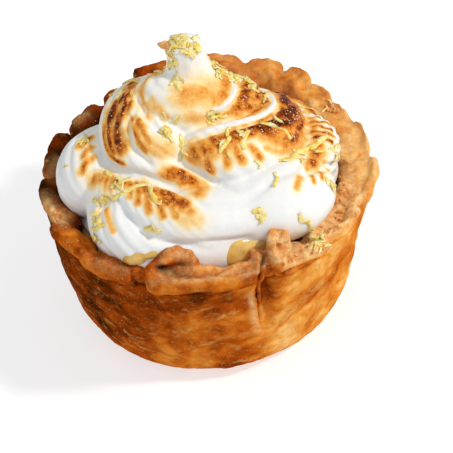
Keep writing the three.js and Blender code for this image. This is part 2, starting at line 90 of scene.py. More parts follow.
def camera_axes():
    """Place, right, up and forward of the camera, in millimetres from the case's axis."""
    forward = Vector((0, math.cos(ELEVATION), -math.sin(ELEVATION)))
    level_up = Vector((0, math.sin(ELEVATION), math.cos(ELEVATION)))
    level_right = Vector((1, 0, 0))
    place = Vector((0, 0, AIM_HEIGHT)) - DISTANCE * forward
    right = math.cos(ROLL) * level_right - math.sin(ROLL) * level_up
    up = math.sin(ROLL) * level_right + math.cos(ROLL) * level_up
    aside = AIM_PIXEL[0] - VIEW_PIXELS / 2
    above = VIEW_PIXELS / 2 - AIM_PIXEL[1]
    forward = (FOCAL_PIXELS * forward - aside * right - above * up).normalized()
    up = (up - up.dot(forward) * forward).normalized()
    return place, forward.cross(up), up, forward


EYE, EYE_RIGHT, EYE_UP, EYE_FORWARD = camera_axes()


def sight(pixel):
    """The direction from the camera through a pixel."""
    aside = float(pixel[0]) - VIEW_PIXELS / 2
    above = VIEW_PIXELS / 2 - float(pixel[1])
    return (FOCAL_PIXELS * EYE_FORWARD + aside * EYE_RIGHT + above * EYE_UP).normalized()


# ---- Small helpers -----------------------------------------------------------------------------


ANY_TURN = 6.28  # radians; the top of a random turn or phase


def smoothstep(x, low, high):
    """0 below low and 1 above high, with a smooth rise between."""
    t = np.clip((np.asarray(x, float) - low) / (high - low), 0, 1)
    return t * t * (3 - 2 * t)


def along(values, t):
    """A smooth value at t, from 0 to 1, through evenly spaced values."""
    values = np.asarray(values, float)
    last = len(values) - 1
    place = np.clip(t, 0, 1) * last
    index = np.minimum(np.asarray(place).astype(int), last - 1)
    f = (place - index)[..., None] if values.ndim > 1 else place - index
    before, start = values[np.maximum(index - 1, 0)], values[index]
    end, after = values[index + 1], values[np.minimum(index + 2, last)]
    bend = 2 * before - 5 * start + 4 * end - after
    twist = 3 * start - before - 3 * end + after
    return start + 0.5 * f * (end - before + f * (bend + f * twist))


def turn_between(angle, other):
    """The signed difference between two angles in degrees."""
    return (np.asarray(angle) - other + 180) % 360 - 180


def polar(angle, radius, height):
    """Points from their turn in degrees, their distance from the axis and their height."""
    turn = np.radians(angle)
    return np.stack(np.broadcast_arrays(radius * np.cos(turn), radius * np.sin(turn), height), -1)


def places(bm):
    """The coordinates of a bmesh's vertices."""
    return np.array([vert.co for vert in bm.verts])


def move_to(bm, points):
    """Puts the vertices of a bmesh at points."""
    for vert, point in zip(bm.verts, points):
        vert.co = point


def ball(sides, rows, place):
    """A ball, its vertices moved to place(turn, share): radians round, and share up from a pole."""
    bm = bmesh.new()
    bmesh.ops.create_uvsphere(bm, u_segments=sides, v_segments=rows, radius=1)
    co = places(bm)
    share = np.arccos(np.clip(-co[:, 2], -1, 1)) / np.pi
    move_to(bm, place(np.arctan2(co[:, 1], co[:, 0]), share))
    return bm


def turned(rows, steps, place):
    """A closed shape spun round the axis, its vertices moved to place(degrees, row)."""
    bm = bmesh.new()
    line = [bm.verts.new((min(row, rows - 1 - row, 1), 0, row)) for row in range(rows)]
    edges = [bm.edges.new(pair) for pair in zip(line, line[1:])]
    round_the_axis = dict(cent=(0, 0, 0), axis=(0, 0, 1), angle=2 * math.pi)
    bmesh.ops.spin(bm, geom=line + edges, steps=steps, use_merge=True, **round_the_axis)
    bmesh.ops.remove_doubles(bm, verts=bm.verts, dist=1e-4)
    co = places(bm)
    degrees = np.degrees(np.arctan2(co[:, 1], co[:, 0])) % 360
    move_to(bm, place(degrees, np.round(co[:, 2]).astype(int)))
    bmesh.ops.recalc_face_normals(bm, faces=bm.faces)
    return bm


def spun(section_at, steps):
    """A closed shape round the axis, with the section of section_at(degrees) at each step."""
    sections = np.array([section_at(360 * step / steps) for step in range(steps)])

    def place(degrees, row):
        step = np.round(degrees / 360 * steps).astype(int) % steps
        section = sections[step, row]
        return polar(degrees, section[:, 0], np.maximum(section[:, 1], 0))

    return turned(sections.shape[1], steps, place)


def gathered(parts):
    """Several bmeshes as one; the parts are freed."""
    whole = bmesh.new()
    for part in parts:
        mesh = bpy.data.meshes.new("part")
        part.to_mesh(mesh)
        part.free()
        whole.from_mesh(mesh)
        bpy.data.meshes.remove(mesh)
    return whole


def fused(bm, grain):
    """The shapes of a bmesh melted into one skin with faces of about the grain's size."""
    mesh = bpy.data.meshes.new("melt")
    bm.to_mesh(mesh)
    bm.free()
    melt = bpy.data.objects.new("melt", mesh)
    bpy.context.scene.collection.objects.link(melt)
    remesh = melt.modifiers.new("skin", "REMESH")
    remesh.mode = "VOXEL"
    remesh.voxel_size = grain
    depsgraph = bpy.context.evaluated_depsgraph_get()
    skin = bpy.data.meshes.new_from_object(melt.evaluated_get(depsgraph))
    bpy.data.objects.remove(melt)
    bpy.data.meshes.remove(mesh)
    result = bmesh.new()
    result.from_mesh(skin)
    bpy.data.meshes.remove(skin)
    return result


def smoothed(bm, times, factor=0.5):
    """Softens a bmesh in place, a little each time."""
    every_way = dict(use_axis_x=True, use_axis_y=True, use_axis_z=True)
    for _ in range(times):
        bmesh.ops.smooth_vert(bm, verts=bm.verts, factor=factor, **every_way)


def normals(bm):
    """The directions that the surface faces at a bmesh's vertices."""
    bm.normal_update()
    return np.array([vert.normal for vert in bm.verts])


def relief(bm, times):
    """How far each vertex stands out of the smoothed form: positive on ridges, negative in creases."""
    plain = bm.copy()
    smoothed(plain, times)
    stands = np.einsum("ij,ij->i", places(bm) - places(plain), normals(plain))
    plain.free()
    return stands


def noise_at(points, scale, stretch=(1, 1, 1), seed=0):
    """Soft noise from -1 to 1 with features of about the given size in millimetres."""
    shift = Vector((17.3 * seed, 9.1 * seed, 5.7 * seed))
    unit = Vector(stretch) / scale
    spots = [Vector((p[0] * unit.x, p[1] * unit.y, p[2] * unit.z)) + shift for p in points]
    return np.array([noise.noise(spot) for spot in spots])


CRUMB_MIDDLE = 0.45  # usual distance to the nearest point of the noise's cells


def crumbs_at(points, scale, seed=0):
    """Rounded bumps of about the given size, with sharp creases between them: about -0.5 to 0.5."""
    shift = Vector((13.1 * seed, 7.7 * seed, 3.9 * seed))
    return np.array([CRUMB_MIDDLE - noise.voronoi(Vector(p) / scale + shift)[0][0] for p in points])


def distance_to_stroke(points, stroke):
    """The distance of each point from a line through the stroke's points."""
    nearest = np.linalg.norm(points - stroke[0], axis=1)
    for start, end in zip(stroke, stroke[1:]):
        run = end - start
        share = np.clip((points - start) @ run / max(run @ run, 1e-9), 0, 1)
        nearest = np.minimum(nearest, np.linalg.norm(points - start - share[:, None] * run, axis=1))
    return nearest


def seen_points(tree, pixels):
    """Where the lines of sight through some pixels meet a surface."""
    hits = [tree.ray_cast(EYE, sight(pixel))[0] for pixel in pixels]
    return np.array([hit for hit in hits if hit is not None])


def finished(name, bm, material, values=()):
    """A piece of the pie from a bmesh in millimetres, with named values on its vertices."""
    bmesh.ops.scale(bm, verts=bm.verts, vec=(MM, MM, MM))
    bmesh.ops.translate(bm, verts=bm.verts, vec=(AXIS_OFFSET[0] * MM, AXIS_OFFSET[1] * MM, 0))
    low, high = CAD_BOX  # no vertex may stand outside it
    for vert in bm.verts:
        vert.co = Vector(min(max(vert.co[k], low[k]), high[k]) for k in range(3))
    for face in bm.faces:
        face.smooth = True
    mesh = bpy.data.meshes.new(name)
    bm.to_mesh(mesh)
    bm.free()
    for key, numbers in dict(values).items():
        layer = mesh.attributes.new(key, "FLOAT", "POINT")
        layer.data.foreach_set("value", np.asarray(numbers, np.float32))
    mesh.materials.append(material)
    piece = bpy.data.objects.new(name, mesh)
    bpy.context.scene.collection.objects.link(piece)
    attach(piece, "root")
    return piece


# ---- Materials: nodes --------------------------------------------------------------------------


def tint(code):
    """A linear colour from an sRGB hex code."""
    parts = [int(code[k : k + 2], 16) / 255 for k in (1, 3, 5)]
    linear = [part / 12.92 if part <= 0.04045 else ((part + 0.055) / 1.055) ** 2.4 for part in parts]
    return (*linear, 1)


def add(tree, kind, settings=(), links=()):
    """Adds a node; settings are its own or its inputs' values, links its inputs' sources."""
    node = tree.nodes.new(kind)
    for key, value in dict(settings).items():
        if isinstance(key, int) or key in node.inputs:
            node.inputs[key].default_value = value
        else:
            setattr(node, key, value)
    for key, source in dict(links).items():
        tree.links.new(source, node.inputs[key])
    return node


def ramp(tree, source, stops):
    """A colour ramp over source with (place, colour) stops."""
    node = add(tree, "ShaderNodeValToRGB", links={"Fac": source})
    elements = node.color_ramp.elements
    while len(elements) < len(stops):
        elements.new(0.5)
    for element, (place, colour) in zip(elements, stops):
        element.position = place
        element.color = colour if not isinstance(colour, (int, float)) else (colour, colour, colour, 1)
    return node.outputs["Color"]


def feed(tree, node, values):
    """Gives the numbered inputs of a node their values, each a socket or a constant."""
    for index, value in values.items():
        if hasattr(value, "links"):
            tree.links.new(value, node.inputs[index])
        else:
            node.inputs[index].default_value = value


def mixed(tree, share, first, second):
    """Two colours mixed by share, each a socket or a colour."""
    node = add(tree, "ShaderNodeMix", {"data_type": "RGBA"})
    feed(tree, node, {0: share, 6: first, 7: second})
    return node.outputs[2]


def worked(tree, operation, first, second, clamp=False):
    """A sum, difference or product of two sockets or numbers."""
    node = add(tree, "ShaderNodeMath", {"operation": operation, "use_clamp": clamp})
    feed(tree, node, {0: first, 1: second})
    return node.outputs[0]


def pattern(tree, size, stretch=(1, 1, 1), detail=3.0, roughness=0.55):
    """Noise on object coordinates, with features of about the given size in millimetres."""
    where = add(tree, "ShaderNodeTexCoord").outputs["Object"]
    mapping = add(tree, "ShaderNodeMapping", {"Scale": stretch}, {"Vector": where})
    settings = {"Scale": 1 / (size * MM), "Detail": detail, "Roughness": roughness}
    return add(tree, "ShaderNodeTexNoise", settings, {"Vector": mapping.outputs[0]}).outputs["Fac"]


def value_of(tree, name):
    """A named value of the piece's vertices."""
    return add(tree, "ShaderNodeAttribute", {"attribute_name": name}).outputs["Fac"]


def new_material(name):
    """A material with its node tree and its shader."""
    material = bpy.data.materials.new(name)
    material.use_nodes = True
    tree = material.node_tree
    return material, tree, tree.nodes["Principled BSDF"]


def bumped(tree, shader, layers):
    """Bump from (height socket, depth in mm) layers, one on the other."""
    normal = None
    for height, depth in layers:
        settings = {"Strength": 1.0, "Distance": depth * MM}
        bump = add(tree, "ShaderNodeBump", settings, {"Height": height})
        if normal is not None:
            tree.links.new(normal, bump.inputs["Normal"])
        normal = bump.outputs["Normal"]
    tree.links.new(normal, shader.inputs["Normal"])


# ---- Materials: the four foods -----------------------------------------------------------------

SUGAR_SPACING = 0.8  # millimetres between beads of burnt sugar


def torched_meringue():
    """Italian meringue: a fine white foam with a soft satin skin, caramelised where it is torched."""
    material, tree, shader = new_material("torched_meringue")
    toast_and_shade = value_of(tree, "toast_and_shade")
    mottle = pattern(tree, 1.5, detail=4, roughness=0.6)  # blisters of the torched foam
    fine = pattern(tree, 0.45, detail=3)  # bubbles of the foam, drawn coarse enough to show
    uneven = worked(tree, "ADD", worked(tree, "MULTIPLY", mottle, 1.3), worked(tree, "MULTIPLY", fine, 0.5))
    spread = ramp(tree, toast_and_shade, [(0.0, 0.0), (0.3, 0.25), (0.5, 0.5), (0.75, 0.95)])
    amount = worked(tree, "MULTIPLY", worked(tree, "SUBTRACT", uneven, 0.92), spread)
    shade = worked(tree, "ADD", toast_and_shade, amount, clamp=True)
    colour = ramp(
        tree,
        shade,
        [
            (0.0, tint("#EEEEEC")),
            (0.08, tint("#F7EEDB")),
            (0.2, tint("#FBDA9C")),
            (0.36, tint("#F4B45C")),
            (0.54, tint("#DE8A2E")),
            (0.68, tint("#BA5C10")),
            (0.82, tint("#853504")),
            (1.0, tint("#521C02")),
        ],
    )
    # Beads of sugar on the burnt places, drawn coarser than real ones so that they show.
    where = add(tree, "ShaderNodeTexCoord").outputs["Object"]
    beads = add(tree, "ShaderNodeTexVoronoi", {"Scale": 1 / (SUGAR_SPACING * MM)}, {"Vector": where})
    dots = ramp(tree, beads.outputs["Distance"], [(0.2, 1.0), (0.3, 0.0)])
    sparse = ramp(tree, pattern(tree, 1.2, detail=1), [(0.42, 0.0), (0.5, 1.0)])
    burnt = ramp(tree, toast_and_shade, [(0.5, 0.0), (0.66, 1.0)])
    sugar = worked(tree, "MULTIPLY", worked(tree, "MULTIPLY", dots, sparse), burnt)
    tree.links.new(mixed(tree, sugar, colour, tint("#F8E8C8")), shader.inputs["Base Color"])
    tree.links.new(ramp(tree, shade, [(0.0, 0.38), (0.6, 0.6)]), shader.inputs["Roughness"])
    shader.inputs["Specular IOR Level"].default_value = 0.1
    shader.inputs["Subsurface Weight"].default_value = 0.08
    shader.inputs["Subsurface Radius"].default_value = (1.0, 0.75, 0.5)
    shader.inputs["Subsurface Scale"].default_value = 1.0 * MM
    crust = worked(tree, "MULTIPLY", fine, shade)
    bumped(tree, shader, [(pattern(tree, 4, detail=2), 0.25), (crust, 0.35), (sugar, 0.25)])
    return material


def baked_pastry():
    """Shortcrust baked in a buttered tin: a fried, mottled wall, with raised flakes that stay pale."""
    material, tree, shader = new_material("baked_pastry")
    bake_and_shade, pale, flake = value_of(tree, "bake_and_shade"), value_of(tree, "pale"), value_of(tree, "flake")
    clouds = pattern(tree, 10, detail=3, roughness=0.5)  # where the wall touched the tin more or less
    mottle = pattern(tree, 3.6, stretch=(1, 1, 1.25), detail=6, roughness=0.6)  # fried patches
    fine = pattern(tree, 0.8, detail=4, roughness=0.6)  # grain of the flour
    uneven = worked(tree, "ADD", clouds, worked(tree, "MULTIPLY", mottle, 0.7))
    # The bake value also holds painted shade in hollows, creases and under the rolled lip.
    amount = worked(tree, "ADD", bake_and_shade, worked(tree, "SUBTRACT", uneven, 0.85), clamp=True)
    colour = ramp(
        tree,
        amount,
        [
            (0.0, tint("#F5BE74")),
            (0.12, tint("#EDA34A")),
            (0.24, tint("#DE862E")),
            (0.37, tint("#CA6A1A")),
            (0.5, tint("#AC4C0C")),
            (0.68, tint("#7C3206")),
            (0.85, tint("#4C2004")),
            (1.0, tint("#2C1203")),
        ],
    )
    ragged = pattern(tree, 3.1, stretch=(1, 1, 1.5), detail=8, roughness=0.75)  # torn layers
    torn = worked(tree, "ADD", ragged, worked(tree, "MULTIPLY", flake, 0.3))
    flaked = ramp(tree, torn, [(0.6, 0.0), (0.76, 0.7)])
    colour = mixed(tree, flaked, colour, mixed(tree, bake_and_shade, tint("#FABE6C"), tint("#C4762E")))
    short = pattern(tree, 1.7, detail=5, roughness=0.7)  # crumbly places that the tin never touched
    crumb_colours = [(0.28, tint("#B8683A")), (0.44, tint("#E09C58")), (0.62, tint("#F6CE92"))]
    crumbly = ramp(tree, short, crumb_colours)
    colour = mixed(tree, pale, colour, crumbly)
    # Small pale specks: painted glints of the greasy surface, drawn coarser than real ones so that they
    # show.
    glint_specks = ramp(tree, pattern(tree, 0.45, detail=1), [(0.7, 0.0), (0.76, 0.6)])
    colour = mixed(tree, glint_specks, colour, tint("#F3D7A6"))
    tree.links.new(colour, shader.inputs["Base Color"])
    tree.links.new(ramp(tree, mottle, [(0.35, 0.3), (0.65, 0.55)]), shader.inputs["Roughness"])
    shader.inputs["Specular IOR Level"].default_value = 0.0
    shader.inputs["Subsurface Weight"].default_value = 0.05
    shader.inputs["Subsurface Radius"].default_value = (1.0, 0.4, 0.15)
    shader.inputs["Subsurface Scale"].default_value = 0.8 * MM
    bumped(tree, shader, [(clouds, 0.6), (mottle, 0.6), (flaked, 0.2), (fine, 0.12), (glint_specks, 0.12)])
    return material


def lemon_curd():
    """Set lemon curd: a translucent, glossy egg and butter jelly."""
    material, tree, shader = new_material("lemon_curd")
    cloud = pattern(tree, 6, detail=3)  # thicker and thinner curd
    colour = ramp(tree, cloud, [(0.35, tint("#DCAC52")), (0.65, tint("#EECA7C"))])
    tree.links.new(colour, shader.inputs["Base Color"])
    shader.inputs["Roughness"].default_value = 0.16
    shader.inputs["IOR"].default_value = 1.42
    shader.inputs["Subsurface Weight"].default_value = 0.35
    shader.inputs["Subsurface Radius"].default_value = (1.0, 0.7, 0.2)
    shader.inputs["Subsurface Scale"].default_value = 2.5 * MM
    bumped(tree, shader, [(pattern(tree, 2.5, detail=3), 0.3)])
    return material


def lemon_zest():
    """Grated lemon peel: waxy yellow outside, pale pith inside."""
    material, tree, shader = new_material("lemon_zest")
    cells = pattern(tree, 1.1, detail=3)  # peel and pith along a shred
    peel_colours = [(0.3, tint("#FFCB45")), (0.48, tint("#FFE27A")), (0.68, tint("#FFF6C8"))]
    colour = ramp(tree, cells, peel_colours)
    tree.links.new(colour, shader.inputs["Base Color"])
    shader.inputs["Roughness"].default_value = 0.42
    shader.inputs["Specular IOR Level"].default_value = 0.3
    shader.inputs["Subsurface Weight"].default_value = 0.3
    shader.inputs["Subsurface Radius"].default_value = (0.5, 0.5, 0.4)
    shader.inputs["Subsurface Scale"].default_value = 1.0 * MM
    bumped(tree, shader, [(pattern(tree, 0.5, detail=2), 0.12)])
    return material


PASTRY_SKIN = baked_pastry()
CURD_SKIN = lemon_curd()
MERINGUE_SKIN = torched_meringue()
ZEST_SKIN = lemon_zest()

# ---- Pastry case -------------------------------------------------------------------------------

# From the angle where each petal of the rim starts: fold, width and foot of the pleat there, how
# far the rim stands out and up, how far the lip rolls over, and how far the ledge slopes in.
PETAL_KEYS = ("from", "fold", "width", "foot", "out", "up", "roll", "ledge")
PETALS = [
    (-31, 1.6, 2.6, 30, 0.6, 0.8, 0.5, 10),  # right
    (-8, 0.5, 2.6, 34, -1.4, 0.8, 0.5, 10),
    (11, 0.4, 2.6, 34, -3.4, 0.6, 0.4, 9),
    (26, 1, 2.6, 34, -3, 1, 0.4, 9),
    (40, 1, 2.4, 34, -2.2, 1.4, 0.4, 8),  # back
    (52, 1, 2.4, 30, -2.4, 1.2, 0.5, 7),
    (68.5, 1.2, 2.4, 32, -2.2, 1.2, 0.6, 6),
    (93, 1.8, 2.6, 26, -2.8, 1.2, 0.5, 4),
    (116, 2.2, 2.6, 32, -5.2, -0.8, 0.4, 4),
    (131, 2.2, 3, 30, -5.4, -0.2, 0.4, 4),
    (153, 4.2, 2.6, 24, -4.4, 0.2, 0.6, 4),  # left
    (181, 2.8, 2.6, 22, -3, 0.2, 0.6, 5),
    (206, 2.2, 2.2, 28, -1.2, 0.6, 1, 6),
    (222, 1.4, 2.6, 26, 0, -0.8, 1.2, 6),  # front left
    (247, 3.6, 2.4, 16, 0.4, 0.2, 2.4, 8),  # front
    (288, 6, 1.8, 13, 0.4, -0.6, 1.8, 9),  # right front
    (312, 1.4, 2.6, 30, 0.2, -0.6, 1, 10),
]
PETALS = [dict(zip(PETAL_KEYS, petal)) for petal in PETALS]
PETAL_EASE = 0.2  # share of a petal's width over which it blends with its neighbour
NOTCH_SHARE = 0.8  # of a pleat's depth that notches the top edge
NOTCH_DIP = 0.3  # of the edge at the ends of a petal
TROUGH_SHARE = 0.14  # of the ledge's width that the ledge has sunk just inside the lip
PLEAT_INSIDE = 0.6  # share of a pleat that shows inside
LEAN_FROM = 16  # height where the wall starts to lean with its petal
LEDGE_SLOPE = 0.75  # drop of the inner ledge per millimetre inwards
# Heights of the section's points up the outside.
WALL_LEVELS = (0, 0.6, 1.5, 3, 4.5, 6.5, 9, 12, 15, 18, 21, 24, 27, 30, 33, 36.5)
LIP_DEPTH = 5.2  # from the top of the rolled lip to its underside
CASE_STEPS = 480
CASE_ROWS = 110
INSIDE_FLOOR = 31  # the pastry is only shown down to below the curd's surface


def petal_at(angle):
    """The petal at an angle, the ones after and before it, and the share of it that is passed."""
    for index, petal in enumerate(PETALS):
        following = PETALS[(index + 1) % len(PETALS)]
        span = (following["from"] - petal["from"]) % 360
        turned_by = (angle - petal["from"]) % 360
        if turned_by < span:
            return petal, following, PETALS[index - 1], turned_by / span
    raise ValueError("no petal")


def rim_value(key, angle):
    """One of the petals' values, eased from petal to petal."""
    petal, following, before, share = petal_at(angle)
    own = petal[key]
    if share < PETAL_EASE:
        ease = float(smoothstep(share, 0, PETAL_EASE))
        return (own + before[key]) / 2 * (1 - ease) + own * ease
    ease = float(smoothstep(share, 1 - PETAL_EASE, 1))
    return own * (1 - ease) + (own + following[key]) / 2 * ease


def petal_arch(angle):
    """1 along the middle of a petal, falling to 0 at its ends."""
    return 1 - abs(2 * petal_at(angle)[3] - 1) ** 3


def pleat_depth(angle, height):
    """How far the pleats fold the wall in."""
    depth = 0
    for petal in PETALS:
        off = float(turn_between(angle, petal["from"])) / petal["width"]
        fade = smoothstep(height, petal["foot"], RIM_HEIGHT - 4)
        depth = depth + petal["fold"] * fade * math.exp(-off * off)
    return depth


def rim_top(angle):
    """The height of the rim's top edge."""
    arch = petal_arch(angle)
    pleat = pleat_depth(angle, RIM_HEIGHT)
    notch = NOTCH_SHARE * pleat**2 / (pleat + 0.9) + NOTCH_DIP * (1 - arch)
    return RIM_HEIGHT + rim_value("up", angle) * (0.7 + 0.3 * arch) - notch


def wall_radius(angle, height):
    """The wall's outside without its pleats and laps: a taper with a rounded base."""
    height = np.asarray(height, float)
    straight = BASE_RADIUS + (RIM_RADIUS - BASE_RADIUS) * height / (RIM_HEIGHT - 5)
    below = np.clip(BASE_ROUNDING - height, 0, BASE_ROUNDING)
    rounding = BASE_ROUNDING - np.sqrt(BASE_ROUNDING**2 - below**2)
    return straight - rounding + rim_value("out", angle) * smoothstep(height, LEAN_FROM, RIM_HEIGHT)


# Where one end of the pastry laps over the next: angle at the rim, turn of it per millimetre down,
# step up at that side, and lowest height.
LAPS = [(247, 0.45, 2.2, 15), (209, -0.5, 1.0, 24), (158.5, 0.3, 0.8, 22), (53.5, 0.2, 0.6, 28)]


def lap_offsets(angle, height):
    """How many degrees past the end of each lap a place is."""
    drop = RIM_HEIGHT - np.asarray(height, float)
    return [turn_between(angle, start + turn * drop) for start, turn, _, _ in LAPS]


def lap_step(angle, height):
    """The step where a lap ends, dying away round the case."""
    step = 0
    for off, (_, _, rise, foot) in zip(lap_offsets(angle, height), LAPS):
        side = smoothstep(off, -0.45, 0.45) - 0.5
        step = step + rise * side * np.exp(-np.abs(off) / 7) * smoothstep(height, foot, foot + 5)
    return step


def outside_radius(angle, height):
    return wall_radius(angle, height) - pleat_depth(angle, height) + lap_step(angle, height)


def inside_radius(angle, height):
    return wall_radius(angle, height) - PASTRY - PLEAT_INSIDE * pleat_depth(angle, height)


def ledge_top(angle):
    """The height of the rim's inner slope, which the shallow notches of the edge don't reach."""
    arch = petal_arch(angle)
    pleat = pleat_depth(angle, RIM_HEIGHT)
    notch = NOTCH_SHARE * pleat**2 / (pleat + 1.5)
    return RIM_HEIGHT + rim_value("up", angle) * (0.6 + 0.4 * arch) - notch


def case_section(angle):
    """Evenly spaced points of the case's section, from under the base to the middle of the inside."""
    top, bed = rim_top(angle), ledge_top(angle) - 0.3
    roll, ledge = rim_value("roll", angle), rim_value("ledge", angle)
    lip = float(outside_radius(angle, top - 3)) + roll
    ledge_foot = bed - LEDGE_SLOPE * ledge - 0.9
    wall = float(inside_radius(angle, ledge_foot))
    ledge_end = min(lip - ledge, wall)
    heights = np.array(WALL_LEVELS)
    base = float(outside_radius(angle, 0))
    # Across the base, up the outside, over the rolled lip, down the ledge and over the hidden floor.
    points = [(0, 0), (0.35 * base, 0), (0.7 * base, 0), (0.92 * base, 0)]
    points += list(zip(outside_radius(angle, heights), heights))
    points += [
        (float(outside_radius(angle, top - 6)) + 0.05 * roll, top - LIP_DEPTH - 0.5),
        (lip - 0.3 * roll, top - LIP_DEPTH + 0.2),
        (lip, top - 2.6),
        (lip - 0.9, top),
        (lip - 2.4, bed - TROUGH_SHARE * ledge),
        (lip - 0.75 * ledge, bed - 0.12 * ledge),
        (ledge_end, ledge_foot + 1.5),
        (min(ledge_end + 0.5, wall), ledge_foot - 2.5),
        (float(inside_radius(angle, INSIDE_FLOOR)), INSIDE_FLOOR + 0.5),
        (float(inside_radius(angle, INSIDE_FLOOR)) - 3, INSIDE_FLOOR),
        (12, INSIDE_FLOOR),
        (0, INSIDE_FLOOR),
    ]
    fine = along(np.array(points), np.linspace(0, 1, 600))
    steps = np.concatenate([[0], np.cumsum(np.linalg.norm(np.diff(fine, axis=0), axis=1))])
    even = np.linspace(0, steps[-1], CASE_ROWS)
    return np.stack([np.interp(even, steps, fine[:, 0]), np.interp(even, steps, fine[:, 1])], -1)


# ---- Ropes -------------------------------------------------------------------------------------

PATH_STEPS = 600


def rope(turn, reach, height, thick, flute=(0, 0), lean=(0, 0), ridges=16, grain=0.55, seed=0):
    """A tube round the axis from turn[0] to turn[1], fluted where flute is 1, the flutes leaning."""
    t = np.linspace(0, 1, PATH_STEPS)
    angles = turn[0] + (turn[1] - turn[0]) * t
    path = polar(angles, along(reach, t), along(height, t))
    steps = np.linalg.norm(np.diff(path, axis=0), axis=1)
    length = np.concatenate([[0], np.cumsum(steps)])
    whole = length[-1]
    twist = np.concatenate([[0], np.cumsum((along(lean, t) / along(thick, t))[1:] * steps)])
    ahead = np.gradient(path, axis=0)
    ahead /= np.linalg.norm(ahead, axis=1)[:, None]
    out = polar(angles, 1, 0)
    out = out - np.einsum("ij,ij->i", out, ahead)[:, None] * ahead
    out /= np.linalg.norm(out, axis=1)[:, None]
    up = np.cross(ahead, out)
    pulse = random.Random(seed)
    beat = [pulse.uniform(0, ANY_TURN) for _ in range(3)]

    def place(around, share):
        at = share * whole
        index = np.clip(np.searchsorted(length, at), 0, PATH_STEPS - 1)
        s = t[index]
        radius = along(thick, s)
        from_end = np.clip(np.minimum(at, whole - at) / radius, 0, 1)
        end = np.sqrt(1 - (1 - from_end) ** 2)
        # The flutes waver a little along the rope, and its thickness varies by a few percent.
        ridge = 2 * np.abs(np.cos(0.5 * ridges * around + 0.4 * np.sin(at / 5 + beat[0]))) - 1.1
        uneven = 1 + 0.02 * np.sin(at / 3.1 + beat[1]) + 0.015 * np.sin(2 * around + at / 4 + beat[2])
        size = end * (radius * uneven + 0.5 * FLUTE_DEPTH * along(flute, s) * ridge)
        angle = around + twist[index]
        side = np.cos(angle)[:, None] * out[index] + np.sin(angle)[:, None] * up[index]
        return path[index] + size[:, None] * side

    rows = max(12, int(whole / grain))
    sides = max(24, ridges * 6)
    return ball(sides, rows, place)


# Where the pastry turns over on itself: turn, reach, height and thickness of the rounded edge.
SCROLL = ((249, 265.5), (44, 40, 38.2, 39.6), (42.6, 46.4, 46.6, 44.6), (2.5, 2.5, 2.2, 1.8))
TURNED_EDGE = ((284.5, 286), (44.6, 41, 36), (42.6, 44.4, 44.8), (2, 1.9, 1.7))
TONGUE = ((290.5, 296), (43.6, 40.6, 37), (41.5, 47, 48.3), (3.4, 3.1, 2.0))


def crust_form():
    """The pastry case with its folded edges, before its fine relief."""
    case = spun(case_section, CASE_STEPS)
    folds = [rope(*shape, ridges=4) for shape in (SCROLL, TURNED_EDGE, TONGUE)]
    skin = fused(gathered([case, *folds]), CRUST_GRAIN)
    smoothed(skin, 2)
    return skin


# How far the wall and the rim are baked, round the case: 0 is pale gold and 1 nearly black.
BAKE_ANGLES = (0, 45, 90, 125, 160, 190, 215, 235, 250, 268, 285, 300, 330)
WALL_BAKE = (0.26, 0.34, 0.44, 0.54, 0.66, 0.8, 0.76, 0.63, 0.52, 0.5, 0.38, 0.26, 0.24)
RIM_BAKE = (0.04, 0.22, 0.4, 0.76, 0.8, 0.76, 0.56, 0.44, 0.44, 0.44, 0.38, 0.22, 0.08)
# Troughs, gaps and cracks in the pastry, by pixels: depth and half width in millimetres.
CRUST_CREASES = [
    (1.9, 1.0, [(154, 265), (160, 269), (166, 271), (180, 273), (198, 274), (214, 271), (226, 267)]),
    (2.2, 0.5, [(265, 246), (263, 262), (261, 278), (258, 292), (260, 306), (261, 326)]),  # the deep pleat
    (0.6, 0.9, [(303, 330), (316, 314), (328, 300), (340, 279), (348, 260)]),  # folds at the right
    (0.5, 0.8, [(322, 316), (335, 293), (343, 272), (350, 256)]),
    (0.5, 1.0, [(330, 325), (345, 300), (356, 270)]),
    (2.6, 1.4, [(294, 235), (299, 237), (304, 239)]),  # the gap behind the tongue
    (1.2, 0.8, [(276, 249), (284, 247), (291, 243)]),
    (1.5, 0.9, [(277, 226), (280, 238), (281, 252)]),  # between the tongue's two folds
    (0.9, 0.6, [(266, 262), (275, 277), (290, 271), (313, 262), (330, 254)]),  # under the crumbly lip
    (0.9, 0.7, [(131, 266), (133, 276), (138, 288)]),  # where the front left petal dives in
    (1.1, 0.9, [(328, 168), (345, 163), (362, 152)]),  # folds of the broad ledge at the right
    (0.7, 0.7, [(333, 205), (345, 195), (352, 180)]),
]
# Pale torn flakes, by pixels: strength and radius in millimetres.
TORN = [
    (0.9, 1.4, [(281, 322), (289, 314), (294, 308)]),
    (0.6, 2.6, [(296, 301), (310, 292), (325, 280)]),
    (0.8, 0.8, [(182, 308), (196, 310), (212, 307)]),
    (0.8, 0.8, [(172, 330), (182, 331), (191, 329)]),
    (0.7, 0.7, [(166, 287), (174, 289)]),
    (0.3, 0.6, [(142, 291), (147, 303), (152, 316), (157, 329)]),  # edge of the front lap
    (0.7, 0.9, [(78, 296), (84, 303), (90, 311)]),
    (0.8, 0.7, [(104, 317), (110, 322), (117, 326)]),
    (0.8, 0.8, [(124, 329), (133, 334), (142, 337)]),
    (0.8, 0.8, [(134, 343), (142, 348), (151, 351)]),
    (0.7, 0.7, [(112, 334), (120, 341), (127, 346)]),
    (0.7, 0.8, [(158, 352), (168, 357), (180, 358)]),
    (0.7, 1.0, [(196, 345), (210, 343), (224, 336)]),
    (0.6, 0.8, [(215, 320), (226, 314), (236, 313)]),
    (0.6, 1.2, [(232, 362), (250, 358), (268, 350)]),
]
